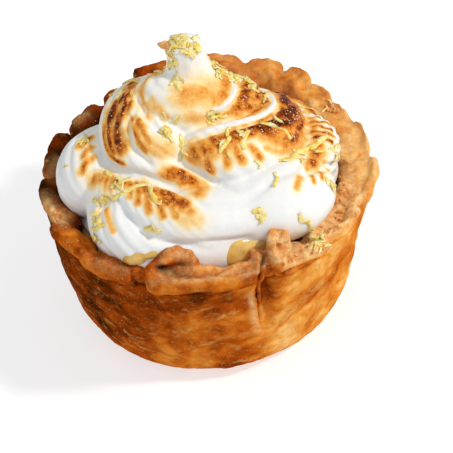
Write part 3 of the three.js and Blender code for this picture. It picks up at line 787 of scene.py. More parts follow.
# Pale crumbly places, with the same values.
PALE = [
    (0.9, 2.4, [(44, 199), (50, 208), (58, 216), (68, 222)]),  # at the left
    (0.65, 1.3, [(166, 252), (173, 251), (181, 257), (188, 263)]),  # the scroll
    (0.6, 1.0, [(262, 262), (264, 252), (262, 244)]),  # the turned edge
    (0.25, 2.2, [(90, 257), (104, 263), (118, 268), (128, 269)]),  # the petal at the front left
    (0.35, 1.6, [(50, 180), (53, 168), (58, 158)]),  # petals at the left
    (0.3, 1.5, [(72, 124), (80, 116), (88, 112)]),
    (0.3, 1.4, [(98, 102), (104, 95)]),
    (0.75, 0.8, [(250, 292), (253, 306), (255, 320), (260, 334)]),  # beside the deep pleat
]
# Heights of the pastry's relief in millimetres: what the wall has, and what the rim has more.
LUMPS = (0.28, 0.4)
NUBS = (0.06, 0.36)
LAYERS = 0.26  # of one flaking layer
RIM_CRUMBS = 0.75
TORN_FLAKES = 0.32
GRAIN = 0.1


def terraced(points):
    """Flaking layers: their height, in layers, and how near each place is to a layer's edge."""
    # Broad sheets, broken up by finer noise, are cut into steps with sloping edges.
    sheets = noise_at(points, 13, (1, 1, 1.8), seed=3)
    sheets += 0.35 * noise_at(points, 5, (1, 1, 1.8), seed=4) + 0.12 * noise_at(points, 1.8, seed=5)
    level = 2.2 * sheets
    part = level - np.floor(level)
    edge = np.clip(1 - np.abs(part - 0.5) / 0.32, 0, 1)
    return np.floor(level) + smoothstep(part, 0.36, 0.64), edge


MARKS_A_PIXEL = 7  # spots along a line for each pixel that gives its way


def marked(co, tree, pixels, radius):
    """How near each place is to a line of pixels on the surface: 1 on it, fading aside and at its ends."""
    shares = np.linspace(0, 1, MARKS_A_PIXEL * len(pixels))
    mark = np.zeros(len(co))
    for share, pixel in zip(shares, along(np.array(pixels, float), shares)):
        point = tree.ray_cast(EYE, sight(pixel))[0]
        if point is not None:
            fade = float(smoothstep(min(share, 1 - share), -0.03, 0.15))
            off = co - np.array(point)
            mark = np.maximum(mark, fade * np.exp(-np.einsum("ij,ij->i", off, off) / radius**2))
    return mark


def all_marked(co, tree, marks):
    """How near each place is to any of some (strength, radius, pixels) marks, by their strength."""
    each = [strength * marked(co, tree, pixels, wide) for strength, wide, pixels in marks]
    return np.maximum.reduce(each)


HIGHEST_RIBBON, DEEPEST_CREASE = 0.8, 3  # limits where several cross


def pressed(bm, creases):
    """Presses creases into a surface, and gives how deep each vertex went."""
    tree = BVHTree.FromBMesh(bm)
    co = places(bm)
    sink = np.zeros(len(co))
    for depth, wide, pixels in creases:
        sink += depth * marked(co, tree, pixels, wide)
    sink = np.clip(sink, -HIGHEST_RIBBON, DEEPEST_CREASE)
    move_to(bm, co - normals(bm) * sink[:, None])
    return sink


def ruffled_crust():
    """The pastry with its lumps, flaky layers and crumbly edges, and what its skin needs to know."""
    bm = crust_form()
    co = places(bm)
    facing = normals(bm)
    radius = np.hypot(co[:, 0], co[:, 1])
    angle = np.degrees(np.arctan2(co[:, 1], co[:, 0])) % 360
    rim = smoothstep(co[:, 2], 36, 42)
    tree = BVHTree.FromBMesh(bm)

    # Crumbly: most inside the rim at the right and on the tongue, less at the left and elsewhere.
    upward = smoothstep(facing[:, 2], -0.2, 0.4)
    past_pleat = turn_between(angle, 290)
    right_rim = smoothstep(past_pleat, -1, 2) * (1 - smoothstep(past_pleat, 40, 85))
    inner = 1 - smoothstep(radius, 38, 42) * smoothstep(turn_between(angle, 335), -8, 8)
    left = smoothstep(angle, 110, 135) * (1 - smoothstep(angle, 205, 222))
    crumbly = rim * upward * np.maximum.reduce([right_rim * inner, 0.5 * left, np.full(len(co), 0.33)])
    tongue = (1 - smoothstep(np.abs(turn_between(angle, 293)), 3.5, 6)) * smoothstep(co[:, 2], 43, 45)
    faded = all_marked(co, tree, PALE)
    crumbly = np.maximum.reduce([crumbly, 0.75 * tongue, 0.7 * faded])

    lumps = noise_at(co, 6.5, (1, 1, 1.3), seed=1)
    nubs = noise_at(co, 2.6, seed=2)
    layers, edge = terraced(co)
    height = (LUMPS[0] + LUMPS[1] * rim) * lumps + (NUBS[0] + NUBS[1] * rim) * nubs
    height += LAYERS * layers * (1 - 0.5 * rim)
    height += RIM_CRUMBS * smoothstep(co[:, 2], 42, 45) * crumbs_at(co, 3.4, seed=3)
    height += crumbly * (1.0 * crumbs_at(co, 3, seed=1) + 0.4 * crumbs_at(co, 1.4, seed=2) + 0.5 * nubs)
    height += 0.8 * tongue * noise_at(co, 2.6, seed=8)
    torn = all_marked(co, tree, TORN)
    grain = noise_at(co, 1.6, seed=7)
    height += TORN_FLAKES * smoothstep(torn + 0.25 * grain, 0.4, 0.55) + GRAIN * grain
    off_table = smoothstep(co[:, 2], 0.2, 2.5)  # the base stays flat
    move_to(bm, co + facing * (height * off_table)[:, None])
    smoothed(bm, 1, 0.3)
    sunk = pressed(bm, CRUST_CREASES)
    known = dict(
        co=co, facing=facing, angle=angle, radius=radius, rim=rim,
        crumbly=crumbly, edge=edge, torn=torn, faded=faded, sunk=sunk,
    )
    return bm, known


def crust_values(bm, co, facing, angle, radius, rim, crumbly, edge, torn, faded, sunk):
    """How far each vertex is baked, with painted shade added in hollows, creases and under the rolled lip;
    how pale and crumbly it is, and how flaky.
    """
    hollow = relief(bm, 12)
    outward = (facing[:, 0] * co[:, 0] + facing[:, 1] * co[:, 1]) / radius
    wall_bake = np.interp(angle, BAKE_ANGLES, WALL_BAKE, period=360)
    wall_bake = wall_bake - 0.1 * (1 - smoothstep(co[:, 2], 4, 28))  # paler towards the base
    rim_bake = np.interp(angle, BAKE_ANGLES, RIM_BAKE, period=360)
    bake_and_shade = wall_bake + (rim_bake - wall_bake) * smoothstep(co[:, 2], 38, 42)
    # Painted shade: hollows and creases are darker, and so is the wall right under a rolled lip.
    bake_and_shade += 0.3 * smoothstep(-hollow, 0.15, 0.7) + 0.28 * smoothstep(sunk, 0.3, 1.6)
    bake_and_shade += 0.2 * rim * noise_at(co, 4.5, seed=9)
    # A painted shadow on the wall right under the rolled lip, deepest where the lip rolls furthest.
    turns = np.arange(0, 360, 1.0)
    tops = np.array([rim_top(turn) for turn in turns])
    rolls = np.array([rim_value("roll", turn) for turn in turns])
    under_lip_shade = co[:, 2] - np.interp(angle, turns, tops, period=360) + LIP_DEPTH + 0.9
    under_lip_shade = np.exp(-((under_lip_shade / 1.1) ** 2)) * smoothstep(outward, 0, 0.5)
    bake_and_shade += 0.4 * under_lip_shade * smoothstep(np.interp(angle, turns, rolls, period=360), 0.5, 2.2)
    # Pale: the crumbly right side, the inside of the rim at the back, and the top of the front lip.
    right_side = np.abs(turn_between(angle, 338)) < 52
    back_right = 1 - smoothstep(np.abs(turn_between(angle, 30)), 60, 78)
    inward = smoothstep(-outward, -0.3, 0.4)
    front_lip = smoothstep(angle, 250, 256) * (angle < 290)
    pale = np.maximum.reduce([1.1 * crumbly * right_side, 0.3 * rim * back_right * inward, faded])
    pale = np.maximum(pale, 0.5 * rim * smoothstep(facing[:, 2], 0.2, 0.7) * front_lip)
    # Flaky: the edges of layers and laps that stand out, and the torn places, but not the creases.
    laps = np.max([np.exp(-((off / 0.7) ** 2)) for off in lap_offsets(angle, co[:, 2])], axis=0)
    flake = 0.2 + 0.3 * edge * smoothstep(hollow, -0.05, 0.25) + 0.3 * laps * smoothstep(outward, 0.2, 0.6)
    flake = np.maximum(flake, torn) * (1 - 0.3 * rim) * (1 - 0.8 * smoothstep(sunk, 0.3, 1.2))
    return {"bake_and_shade": np.clip(bake_and_shade, 0, 1), "pale": np.clip(pale, 0, 1), "flake": np.clip(flake, 0, 1)}


def crust_piece():
    """Makes the pastry case, and gives its surface for what lies on it."""
    bm, known = ruffled_crust()
    values = crust_values(bm, **known)
    tree = BVHTree.FromBMesh(bm)
    piece = finished("pastry_case", bm, PASTRY_SKIN, values)
    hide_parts("crust")
    return tree


# ---- Lemon curd --------------------------------------------------------------------------------

WELLS = [(243, 7, 9), (283, 7, 3.5)]  # angle, half width in degrees and rise of each well
CURD_STEPS = 240
# Curd squeezed out over the pleat in front, and standing in the gap beside the deep pleat: turn,
# reach, height and thickness.
OOZED = [
    ((236, 248), (38.6, 39.8, 39.4), (43.0, 45.2, 45.9), (0.9, 1.8, 1.5)),
    ((241, 254), (39.0, 38.9, 38.2), (45.6, 46.7, 47.2), (1.4, 1.7, 0.9)),
    ((268, 297), (33.2, 33.4, 33.2), (43, 43.2, 43), (4.8, 5.0, 4.8)),
]


def curd_top(angle):
    """The height of the curd's edge, which wells up at two places."""
    rises = [rise * math.exp(-((float(turn_between(angle, at)) / wide) ** 2)) for at, wide, rise in WELLS]
    return CURD_HEIGHT + sum(rises)


def curd_section(angle):
    """Points of the curd's section, from the middle of its underside to the middle of its top."""
    top = curd_top(angle)
    lip = float(outside_radius(angle, RIM_HEIGHT)) + rim_value("roll", angle)
    ledge_end = lip - rim_value("ledge", angle)
    brim = min(float(inside_radius(angle, top - 4)), ledge_end) + 0.1
    shares = np.linspace(1, 0, 14)
    surface = [(brim * share, top + (CURD_HEIGHT - top) * (1 - share) ** 1.5) for share in shares[1:]]
    low = [(0, INSIDE_FLOOR + 1), (0.5 * brim, INSIDE_FLOOR + 1), (brim - 1, INSIDE_FLOOR + 1)]
    side = [(brim, INSIDE_FLOOR + 3), (brim + 0.1, top - 1.4), (brim - 0.3, top - 0.4)]
    return np.array(low + side + [(brim - 1.2, top)] + surface)


def curd_piece():
    """Makes the curd that shows between the meringue and the rim."""
    body = spun(curd_section, CURD_STEPS)
    bm = fused(gathered([body, *[rope(*shape, ridges=8) for shape in OOZED]]), CURD_GRAIN)
    smoothed(bm, 3)
    co = places(bm)
    uneven = 0.4 * noise_at(co, 3.4, seed=31) + 0.35 * noise_at(co, 1.9, seed=32)
    move_to(bm, co + normals(bm) * uneven[:, None])
    smoothed(bm, 1)
    piece = finished("lemon_curd", bm, CURD_SKIN)
    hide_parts("lemon_filling")


# ---- Meringue ----------------------------------------------------------------------------------

# The piped ropes, from the values of rope() at even steps along each.
ROPES = [
    dict(  # left lobe of the bottom ring
        turn=(130, 217), reach=(14, 19.5, 26.5, 29.6), height=(42, 44.5, 48.5, 47.4),
        thick=(6, 7, 8.6, 9), flute=(1.2, 1.2, 1.1, 0.3), lean=(0.1, 0.2, 0.4), ridges=20,
    ),
    dict(  # shell at the front left, and the bottom ring under the front
        turn=(208, 285), reach=(26.5, 33, 32, 31.5), height=(49.5, 46.5, 44.3, 43.2),
        thick=(4.5, 7.4, 7.2, 6.8), flute=(1.2, 1, 0, 0), lean=(0.5, 0.8, 0.4), ridges=14,
    ),
    dict(  # bottom ring at the right and the back
        turn=(290, 500), reach=(29, 27, 25.5, 23, 26, 27), height=(44.5, 44.5, 43, 42, 42, 43),
        thick=(7.5, 8.3, 8, 7.5, 7.5, 7.5), flute=(0.3, 0.6, 1, 1), lean=(0.3, 0.3), ridges=14,
    ),
    dict(  # main rope, from the toasted ridge to the round lobe at the right
        turn=(200, 331), reach=(26, 28.4, 29, 29.8, 29.5, 31.5, 31.2),
        height=(52, 51.2, 50.5, 50, 49.8, 49.5, 49.5), thick=(4, 5.8, 7.2, 7.6, 8.2, 9.6, 9.2),
        flute=(1.1, 1, 0.5, 0, 0, 0), lean=(0.8, 1.2, 1.0, 0.4), ridges=18,
    ),
    dict(  # small lobe above it at the right
        turn=(312, 365), reach=(26, 28.3, 24), height=(51, 50.8, 47.5),
        thick=(6, 8, 6.5), flute=(0, 0.8, 1), lean=(0.4, 0.8, 0.8), ridges=18,
    ),
    dict(  # second ring: dark lobe at the left, and the ridge below the third ring
        turn=(120, 285), reach=(6, 12, 16.4, 19.4, 20.5, 21), height=(57, 59, 58.5, 57, 54.5, 52.5),
        thick=(6, 7, 7.3, 6.5, 5.8, 5), flute=(1.3, 1.3, 1.2, 0.5, 0.3, 0),
        lean=(0.1, 0.2, 0.6, 1.0), ridges=18,
    ),
    dict(  # second ring at the right and the back: the toasted fingers and the darkest side
        turn=(252, 430), reach=(13, 18.3, 19, 10.5, 7), height=(60, 57, 54.6, 52, 52),
        thick=(5.5, 9, 9, 8, 7.5), flute=(0.5, 0.5, 0.6, 1, 1), lean=(1.0, 1.2, 0.6, 0.4), ridges=13,
    ),
    dict(  # second ring at the back
        turn=(20, 175), reach=(10, 9, 8, 9), height=(56, 57, 58, 58.5),
        thick=(7, 7.5, 7.5, 7), flute=(1, 1), lean=(0.3, 0.3), ridges=14,
    ),
    dict(  # third ring: the lobe at the left
        turn=(160, 258), reach=(9, 13.5, 16.3, 15), height=(62.5, 62.5, 61, 59.5),
        thick=(5.5, 6.2, 6.4, 5), flute=(1.3, 1.3, 1.1, 0.5), lean=(0.2, 0.4, 0.8), ridges=18,
    ),
    dict(  # third ring at the right
        turn=(280, 410), reach=(6, 9, 11.5, 6), height=(64.5, 62.5, 60.2, 59.5),
        thick=(4.5, 5.6, 5.4, 5.5), flute=(0.2, 0.4, 0.8, 1), lean=(0.4, 0.6, 0.4), ridges=14,
    ),
    dict(  # top ring: the shoulder under the peak
        turn=(140, 320), reach=(5, 8, 6, 5.5), height=(65.5, 65.5, 66.5, 65.5),
        thick=(6, 7, 6.3, 5.8), flute=(1, 0.9, 0.2, 0.1), lean=(0.3, 0.5, 0.5), ridges=12,
    ),
]

PEAK_FOOT = 60  # height
PEAK_RADII = (13, 12.6, 10.8, 7.8, 5.8, 4.9, 4.5, 3.6)
PEAK_LEAN = 1.2  # of the tip to the left
PEAK_TWIST = math.radians(30)
# The plain core inside the ropes: radius and height, from its underside to its top.
CORE = [(0, 34), (30, 34), (33.5, 40), (32, 43), (26, 47), (21, 53), (14, 60), (8, 66), (0, 68)]
CORE_SHIFT = -2  # towards the front
CORE_BACK = 0.15  # share that it is flatter at the back
NICK = (283, 4.5, 6, 28)  # angle, half width, depth and least reach


def peak():
    """The pulled peak in the middle, turned a little round itself."""

    def place(around, share):
        end = np.sqrt(np.clip(12 * np.minimum(share, 1 - share), 0, 1))
        size = end * (along(PEAK_RADII, share) + 0.1 * np.cos(10 * around))
        height = PEAK_FOOT + (PEAK_HEIGHT - PEAK_FOOT) * share
        points = polar(np.degrees(around + PEAK_TWIST * share), size, height)
        points[:, 0] -= PEAK_LEAN * share**2
        return points

    return ball(72, 60, place)


def core():
    """The body that fills the rings, with a nick in front where the curd shows."""
    rows = len(CORE)
    profile = np.array(CORE, float)

    def place(degrees, row):
        radius, height = profile[row, 0], profile[row, 1]
        off = turn_between(degrees, NICK[0]) / NICK[1]
        nick = np.where(radius > NICK[3], NICK[2] * np.exp(-off * off), 0)
        share = 1 - CORE_BACK * np.clip(np.sin(np.radians(degrees)), 0, 1)
        points = polar(degrees, share * radius - nick, height)
        points[:, 1] += CORE_SHIFT
        return points

    return turned(rows, 96, place)


# Torched strokes on the meringue, by the pixels that they run through: strength, radius in mm.
TORCHED = [
    # The strokes on the dark lobe at the left are stronger than its toast alone, so that they also paint
    # the shade that lies on it.
    (1.12, 2.1, [(124, 98), (117, 105), (112, 115)]),  # dark lobe at the left
    (1.02, 1.6, [(127, 106), (120, 116), (116, 128), (117, 140), (121, 148)]),
    (0.9, 1.1, [(110, 118), (108, 130), (109, 142), (113, 152)]),
    (0.7, 0.8, [(105, 126), (104, 138), (107, 149), (113, 158), (123, 164)]),
    (0.8, 1.5, [(136, 72), (133, 82), (130, 90)]),
    (0.6, 1.0, [(133, 119), (129, 130)]),  # third ring at the left
    (0.65, 1.0, [(138, 121), (136, 133), (140, 144), (145, 150)]),
    (0.55, 1.0, [(142, 125), (144, 136), (149, 143)]),
    (0.38, 2.2, [(152, 146), (161, 151), (168, 150)]),
    (0.5, 1.2, [(146, 79), (141, 92), (144, 105), (149, 116)]),  # shoulder at the left
    (0.42, 1.2, [(151, 102), (160, 109), (165, 117)]),
    (0.5, 3.2, [(186, 95), (200, 92), (214, 92)]),  # shoulder in front
    (0.7, 2.0, [(227, 82), (225, 92), (217, 101)]),
    (0.4, 1.8, [(190, 116), (202, 121), (216, 121)]),
    (0.8, 3.0, [(246, 86), (246, 98), (240, 108)]),  # third ring at the right
    (0.88, 2.6, [(258, 92), (264, 102), (252, 109)]),
    (0.5, 1.6, [(232, 100), (226, 112), (212, 118)]),
    (1.08, 3.0, [(276, 92), (287, 101), (294, 108)]),  # darkest side
    (1.15, 3.0, [(292, 112), (284, 120), (274, 122), (264, 126)]),
    (0.85, 2.6, [(302, 116), (301, 128), (296, 138), (288, 143)]),
    (0.95, 2.2, [(258, 127), (246, 131), (236, 133)]),
    (0.85, 2.2, [(236, 136), (226, 141), (216, 141)]),
    (0.66, 2.8, [(216, 145), (204, 150), (194, 153)]),
    (0.8, 1.0, [(205, 152), (208, 163), (211, 170)]),
    (0.7, 1.0, [(224, 150), (228, 164)]),
    (0.75, 1.0, [(236, 149), (242, 160)]),
    (0.65, 1.0, [(251, 146), (260, 157)]),
    (0.7, 1.8, [(262, 134), (276, 139), (288, 144)]),
    (0.45, 0.9, [(266, 148), (281, 153), (293, 150)]),
    (0.85, 0.6, [(309, 119), (319, 117), (327, 120)]),  # small lobe at the right
    (0.85, 0.6, [(310, 123), (320, 122), (330, 125)]),
    (0.85, 0.6, [(311, 127), (322, 127), (332, 130)]),
    (0.85, 0.6, [(312, 132), (323, 132), (333, 136)]),
    (0.8, 0.7, [(314, 137), (324, 138), (332, 142)]),
    (0.5, 1.8, [(311, 121), (313, 133), (318, 144)]),
    (0.72, 2.0, [(318, 147), (315, 156), (314, 165)]),
    (0.7, 0.6, [(317, 157), (324, 163), (328, 170)]),
    (0.7, 0.6, [(312, 162), (318, 170), (322, 178)]),
    (0.6, 0.6, [(307, 168), (312, 176), (314, 182)]),
    (0.5, 0.9, [(300, 178), (298, 183), (297, 187)]),
    (0.72, 1.0, [(90, 137), (80, 147)]),  # left lobe
    (0.6, 0.9, [(92, 147), (83, 156)]),
    (0.6, 1.0, [(92, 158), (84, 165), (82, 172)]),
    (0.62, 1.9, [(94, 179), (104, 178), (112, 183)]),
    (0.75, 1.3, [(122, 184), (132, 184), (142, 184)]),  # ridge of the main rope
    (0.8, 1.8, [(146, 188), (158, 191), (170, 195)]),
    (0.85, 1.7, [(164, 200), (174, 200), (183, 204)]),
    (0.62, 0.8, [(131, 190), (130, 197)]),
    (0.7, 0.8, [(139, 190), (138, 203)]),
    (0.72, 0.9, [(147, 196), (149, 211)]),
    (0.72, 0.9, [(158, 200), (163, 216)]),
    (0.66, 0.9, [(172, 204), (176, 216)]),
    (0.5, 1.6, [(184, 208), (190, 212)]),
    (0.32, 2.0, [(184, 220), (196, 221)]),
    (0.82, 1.6, [(170, 173), (181, 173), (184, 181)]),  # ridge above it
    (0.85, 1.5, [(190, 180), (196, 186)]),
    (0.6, 1.5, [(204, 186), (198, 193)]),
    (0.6, 0.6, [(107, 208), (109, 220), (114, 231)]),  # shell at the front left
    (0.45, 0.5, [(101, 208), (98, 215)]),
]
# The thin white ribbon between the darkest strokes, by pixels.
RIBBON = [(270, 94), (274, 101), (272, 108), (264, 114), (254, 118), (239, 122), (212, 129), (190, 136)]
UNTOUCHED = [  # white ribbons between the strokes, with the same values
    (1.0, 0.8, RIBBON),
    (1.0, 0.8, [(233, 80), (236, 86), (232, 98), (222, 108), (213, 112)]),
]
# Creases between the ropes, by pixels: depth and half width in millimetres. A negative depth is a
# thin raised edge.
CREASES = [
    (1.3, 0.9, [(129, 112), (128, 126), (129, 136), (133, 147), (144, 159), (154, 166)]),  # left lobes
    (0.9, 0.9, [(136, 93), (144, 112), (154, 126), (164, 132)]),
    (1.1, 1.0, [(103, 156), (109, 164), (117, 168), (140, 174), (156, 180), (172, 187), (190, 197)]),
    (0.9, 1.1, [(170, 160), (188, 167), (203, 174), (217, 183), (239, 192)]),
    (0.8, 1.1, [(190, 197), (208, 206), (240, 203), (262, 190), (272, 177)]),
    (1.0, 0.9, [(120, 199), (108, 203), (98, 211), (92, 224)]),  # round the front left shell
    (1.2, 1.0, [(118, 202), (126, 214), (137, 227), (145, 235), (164, 241), (184, 244), (204, 243)]),
    (1.0, 1.0, [(204, 243), (231, 241), (252, 238)]),
    (0.9, 1.2, [(308, 117), (308, 150), (294, 169), (272, 177)]),  # right
    (1.5, 1.3, [(342, 165), (330, 166), (318, 167), (304, 173)]),
    (0.7, 0.6, [(275, 98), (278, 106), (271, 117), (256, 122), (240, 127), (213, 133), (192, 141)]),
    (-0.8, 0.6, RIBBON),
    (0.6, 0.6, [(240, 84), (236, 98), (225, 110), (214, 115)]),
    (-0.8, 0.55, [(236, 84), (232, 98), (222, 108), (213, 112)]),
]
# Torched rings at the back: strength, radius in mm, angle from and to, reach and height.
TORCHED_BEHIND = [
    (0.85, 2.4, (20, 60), 24, 60), (0.8, 2.2, (75, 120), 20, 62), (0.7, 2.2, (130, 165), 22, 60),
    (0.75, 2.0, (45, 110), 12, 69), (0.7, 2.4, (60, 100), 32, 50), (0.65, 2.2, (115, 150), 32, 50),
    (0.75, 2.2, (5, 35), 33, 52), (0.5, 1.8, (120, 170), 9, 74), (0.4, 2.0, (20, 70), 6, 76),
]
FULL_RIDGE = 0.28  # how far a ridge stands out to catch the most of the torch
TORCH_REACH = 1.3  # of a stroke's radius, where its colour has faded to about a third


def toast_and_shade_of(bm, tree):
    """How dark the torch has left each vertex, from 0 to 1, with painted shade added on the dark lobe at
    the left.
    """
    co = places(bm)
    stands = relief(bm, 14)
    ridge = np.clip(stands / FULL_RIDGE, -1, 1)
    blotch = noise_at(co, 2.6, seed=11)
    mask = np.zeros(len(co))
    strokes = [(strength, radius, seen_points(tree, pixels)) for strength, radius, pixels in TORCHED]
    for strength, radius, (start, end), reach, height in TORCHED_BEHIND:
        angles = np.linspace(start, end, 7)
        spots = [tree.find_nearest(Vector(point))[0] for point in polar(angles, reach, height)]
        strokes.append((strength, radius, np.array(spots)))
    for strength, radius, stroke in strokes:
        if len(stroke):
            far = distance_to_stroke(co, stroke) * (1 + 0.3 * blotch)
            mask = np.maximum(mask, strength * np.exp(-((far / (TORCH_REACH * radius)) ** 2)))
    toast_and_shade = mask * (0.78 + 0.42 * ridge + 0.12 * blotch)
    for strength, radius, pixels in UNTOUCHED:
        far = distance_to_stroke(co, seen_points(tree, pixels))
        toast_and_shade *= 1 - strength * (1 - smoothstep(far, 0.5 * radius, 1.5 * radius))
    return toast_and_shade


def meringue_piece():
    """Makes the piped meringue, and gives its surface for what lies on it."""
    parts = [core(), peak()] + [rope(**shape, seed=index) for index, shape in enumerate(ROPES)]
    bm = fused(gathered(parts), MERINGUE_GRAIN)
    smoothed(bm, 2)
    co = places(bm)
    soft = 0.22 * noise_at(co, 7, seed=21) + 0.06 * noise_at(co, 2.5, seed=22)
    move_to(bm, co + normals(bm) * soft[:, None])
    pressed(bm, CREASES)
    smoothed(bm, 1)
    tree = BVHTree.FromBMesh(bm)
    piece = finished("torched_meringue", bm, MERINGUE_SKIN, {"toast_and_shade": toast_and_shade_of(bm, tree)})
    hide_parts("meringue")
    return tree


# ---- Zest --------------------------------------------------------------------------------------

# Shreds of zest by the pixels that they run through, with their width in millimetres.
SHREDS = [
    (1.1, [(167, 38), (171, 46), (168, 52), (173, 59)]),  # round the tip
    (0.9, [(171, 37), (182, 38), (187, 42)]),
    (0.9, [(182, 47), (186, 41), (188, 37)]),
    (1.0, [(174, 47), (186, 46)]),
    (1.0, [(180, 52), (188, 51), (193, 58)]),
    (1.0, [(163, 65), (171, 63), (176, 59)]),
    (1.0, [(192, 40), (198, 37)]),
    (0.9, [(176, 40), (181, 36), (187, 39)]),
    (1.2, [(194, 42), (197, 47), (199, 52)]),
    (1.1, [(169, 50), (173, 56), (171, 61)]),
    (0.9, [(177, 71), (175, 82), (179, 88)]),
    (0.7, [(131, 92), (133, 97)]),
    (1.1, [(174, 123), (179, 115)]),
    (1.6, [(161, 135), (166, 130), (169, 138)]),
    (0.9, [(180, 134), (182, 146), (180, 160)]),
    (0.5, [(163, 111), (167, 119)]),
    (1.0, [(80, 145), (84, 140), (88, 139)]),
    (0.8, [(82, 139), (88, 143)]),
    (1.0, [(64, 167), (69, 165)]),
    (0.8, [(106, 171), (111, 177)]),
    (1.4, [(114, 181), (120, 180), (123, 184), (118, 188)]),
    (1.0, [(117, 184), (122, 190), (120, 195)]),
    (1.0, [(123, 192), (135, 188), (147, 185), (152, 192), (156, 201), (162, 203)]),
    (1.0, [(99, 203), (104, 197), (112, 198), (119, 194)]),
    (0.9, [(92, 228), (98, 228), (105, 223)]),
    (0.8, [(94, 218), (94, 226)]),
    (0.8, [(95, 235), (96, 240)]),
    (1.5, [(151, 223), (158, 232), (162, 230)]),
    (1.3, [(211, 64), (219, 62), (222, 67)]),  # heap beside the peak
    (1.2, [(212, 67), (220, 71), (226, 76)]),
    (1.3, [(227, 69), (237, 72), (243, 77)]),
    (1.1, [(215, 71), (227, 73)]),
    (1.1, [(234, 78), (241, 82)]),
    (1.0, [(218, 66), (230, 70), (238, 68)]),
    (0.9, [(249, 82), (260, 86)]),
    (0.9, [(250, 88), (255, 91)]),
    (1.2, [(261, 93), (269, 95), (265, 98)]),
    (1.2, [(207, 112), (217, 113), (213, 119), (218, 121)]),
    (0.7, [(274, 116), (281, 123)]),
    (0.7, [(260, 123), (275, 127), (285, 132), (290, 139)]),
    (0.9, [(249, 131), (243, 140), (243, 149)]),
    (0.8, [(231, 137), (225, 145), (220, 153)]),
    (1.3, [(279, 161), (290, 160), (301, 151), (315, 146), (326, 135)]),
    (0.5, [(254, 160), (260, 165), (258, 169)]),
    (0.8, [(275, 172), (277, 179), (275, 187)]),
    (0.7, [(328, 148), (336, 153), (333, 162)]),
    (0.9, [(326, 177), (328, 184), (335, 186)]),
    (1.5, [(252, 211), (258, 210), (263, 216), (260, 220)]),
    (0.9, [(299, 212), (301, 219), (308, 222), (312, 229)]),
]
SHREDS_ON_PASTRY = [
    (1.1, [(308, 234), (314, 239), (315, 245)]),
    (1.1, [(317, 239), (323, 234), (324, 241)]),
    (0.9, [(312, 236), (319, 243)]),
    (0.7, [(328, 99), (336, 109)]),
    (0.5, [(226, 264), (229, 265)]),
]
# Tufts of short curly shreds: the pixel of the middle, how far they spread, and how many.
TUFTS = [
    ((170, 47), (3, 5), 13), ((184, 42), (6, 3), 7), ((193, 46), (3, 4), 6), ((172, 60), (3, 3), 5),
    ((219, 68), (6, 3), 18), ((234, 75), (5, 3), 14), ((253, 87), (5, 3), 4), ((266, 95), (3, 2), 2),
    ((118, 184), (3, 3), 8), ((104, 199), (6, 2), 7), ((96, 228), (2, 5), 5), ((84, 142), (3, 1), 3),
    ((165, 134), (3, 2), 4), ((212, 117), (4, 2), 4), ((180, 152), (1, 6), 3), ((155, 228), (3, 2), 2),
    ((176, 78), (1, 6), 4), ((246, 136), (2, 4), 3), ((224, 146), (3, 5), 3), ((300, 154), (10, 4), 4),
    ((257, 214), (2, 2), 2), ((332, 152), (4, 5), 2), ((331, 182), (3, 2), 2),
]
TUFTS_ON_PASTRY = [((316, 241), (4, 3), 11), ((332, 104), (3, 4), 3)]
TUFT_STEP = 1.8  # pixels
TUFT_WIDTHS = (0.5, 0.95)
ZEST_WIDENING = 1.2  # of the visible shreds
ZEST_THICKNESS = 0.25
ZEST_STEP = 0.45  # length of a face
TRACE_STEP = 2.0  # pixels
TRACE_JUMP = 3  # a shred ends where its line falls further than this between two points
SHREDS_BEHIND = 40  # scattered at the back
SHREDS_BEHIND_FOOT = 4  # least height of those above the curd


def shred(points, away, width, chance):
    """A thin curling strip along points, on the side away from what it lies on."""
    lengths = np.concatenate([[0], np.cumsum(np.linalg.norm(np.diff(points, axis=0), axis=1))])
    count = max(5, int(lengths[-1] / ZEST_STEP))
    shares = np.linspace(0, 1, count)
    line = along(points, shares)
    lift = along(away, shares)
    lift /= np.linalg.norm(lift, axis=1)[:, None] + 1e-9
    ahead = np.gradient(line, axis=0)
    ahead /= np.linalg.norm(ahead, axis=1)[:, None] + 1e-9
    across = np.cross(lift, ahead)
    # It wavers aside, rolls about its length and lifts off here and there.
    phase = [chance.uniform(0, ANY_TURN) for _ in range(3)]
    at = shares * lengths[-1]
    line = line + (0.16 * np.sin(at * 1.6 + phase[0]))[:, None] * across
    roll = chance.uniform(-0.6, 0.6) + np.cumsum([chance.uniform(-0.26, 0.26) for _ in range(count)])
    raised = 0.04 + 0.26 * np.abs(np.sin(at * 0.6 + phase[1]))
    # A flat grid, bent to the line: narrow at its ends, tilted by the roll and cupped across.
    bm = bmesh.new()
    bmesh.ops.create_grid(bm, x_segments=count - 1, y_segments=2, size=0.5)
    co = places(bm)
    step = np.clip(np.round((co[:, 0] + 0.5) * (count - 1)).astype(int), 0, count - 1)
    side = co[:, 1] * 2
    ends = 0.4 + 0.6 * np.sin(np.pi * np.clip((step + 0.6) / count, 0, 1)) ** 0.5
    half = 0.5 * width * ends * (1 + 0.22 * np.sin(at[step] * 2.1 + phase[2]))
    tilt = np.cos(roll[step])[:, None] * across[step] + np.sin(roll[step])[:, None] * lift[step]
    cup = 0.16 * width * side**2
    rise = (raised[step] + cup)[:, None] * lift[step]
    move_to(bm, line[step] + (side * half)[:, None] * tilt + rise)
    bmesh.ops.solidify(bm, geom=bm.faces[:], thickness=ZEST_THICKNESS)
    bmesh.ops.recalc_face_normals(bm, faces=bm.faces)
    return bm


def traced(tree, pixels):
    """Points of a surface under a line of pixels, with the surface's directions there."""
    pixels = np.array(pixels, float)
    length = np.linalg.norm(np.diff(pixels, axis=0), axis=1).sum()
    points, away = [], []
    for pixel in along(pixels, np.linspace(0, 1, max(3, int(length / TRACE_STEP)))):
        point, normal, _, _ = tree.ray_cast(EYE, sight(pixel))
        if point is not None and (not points or (point - points[-1]).length < TRACE_JUMP):
            points.append(point)
            away.append(normal)
    return np.array(points), np.array(away)


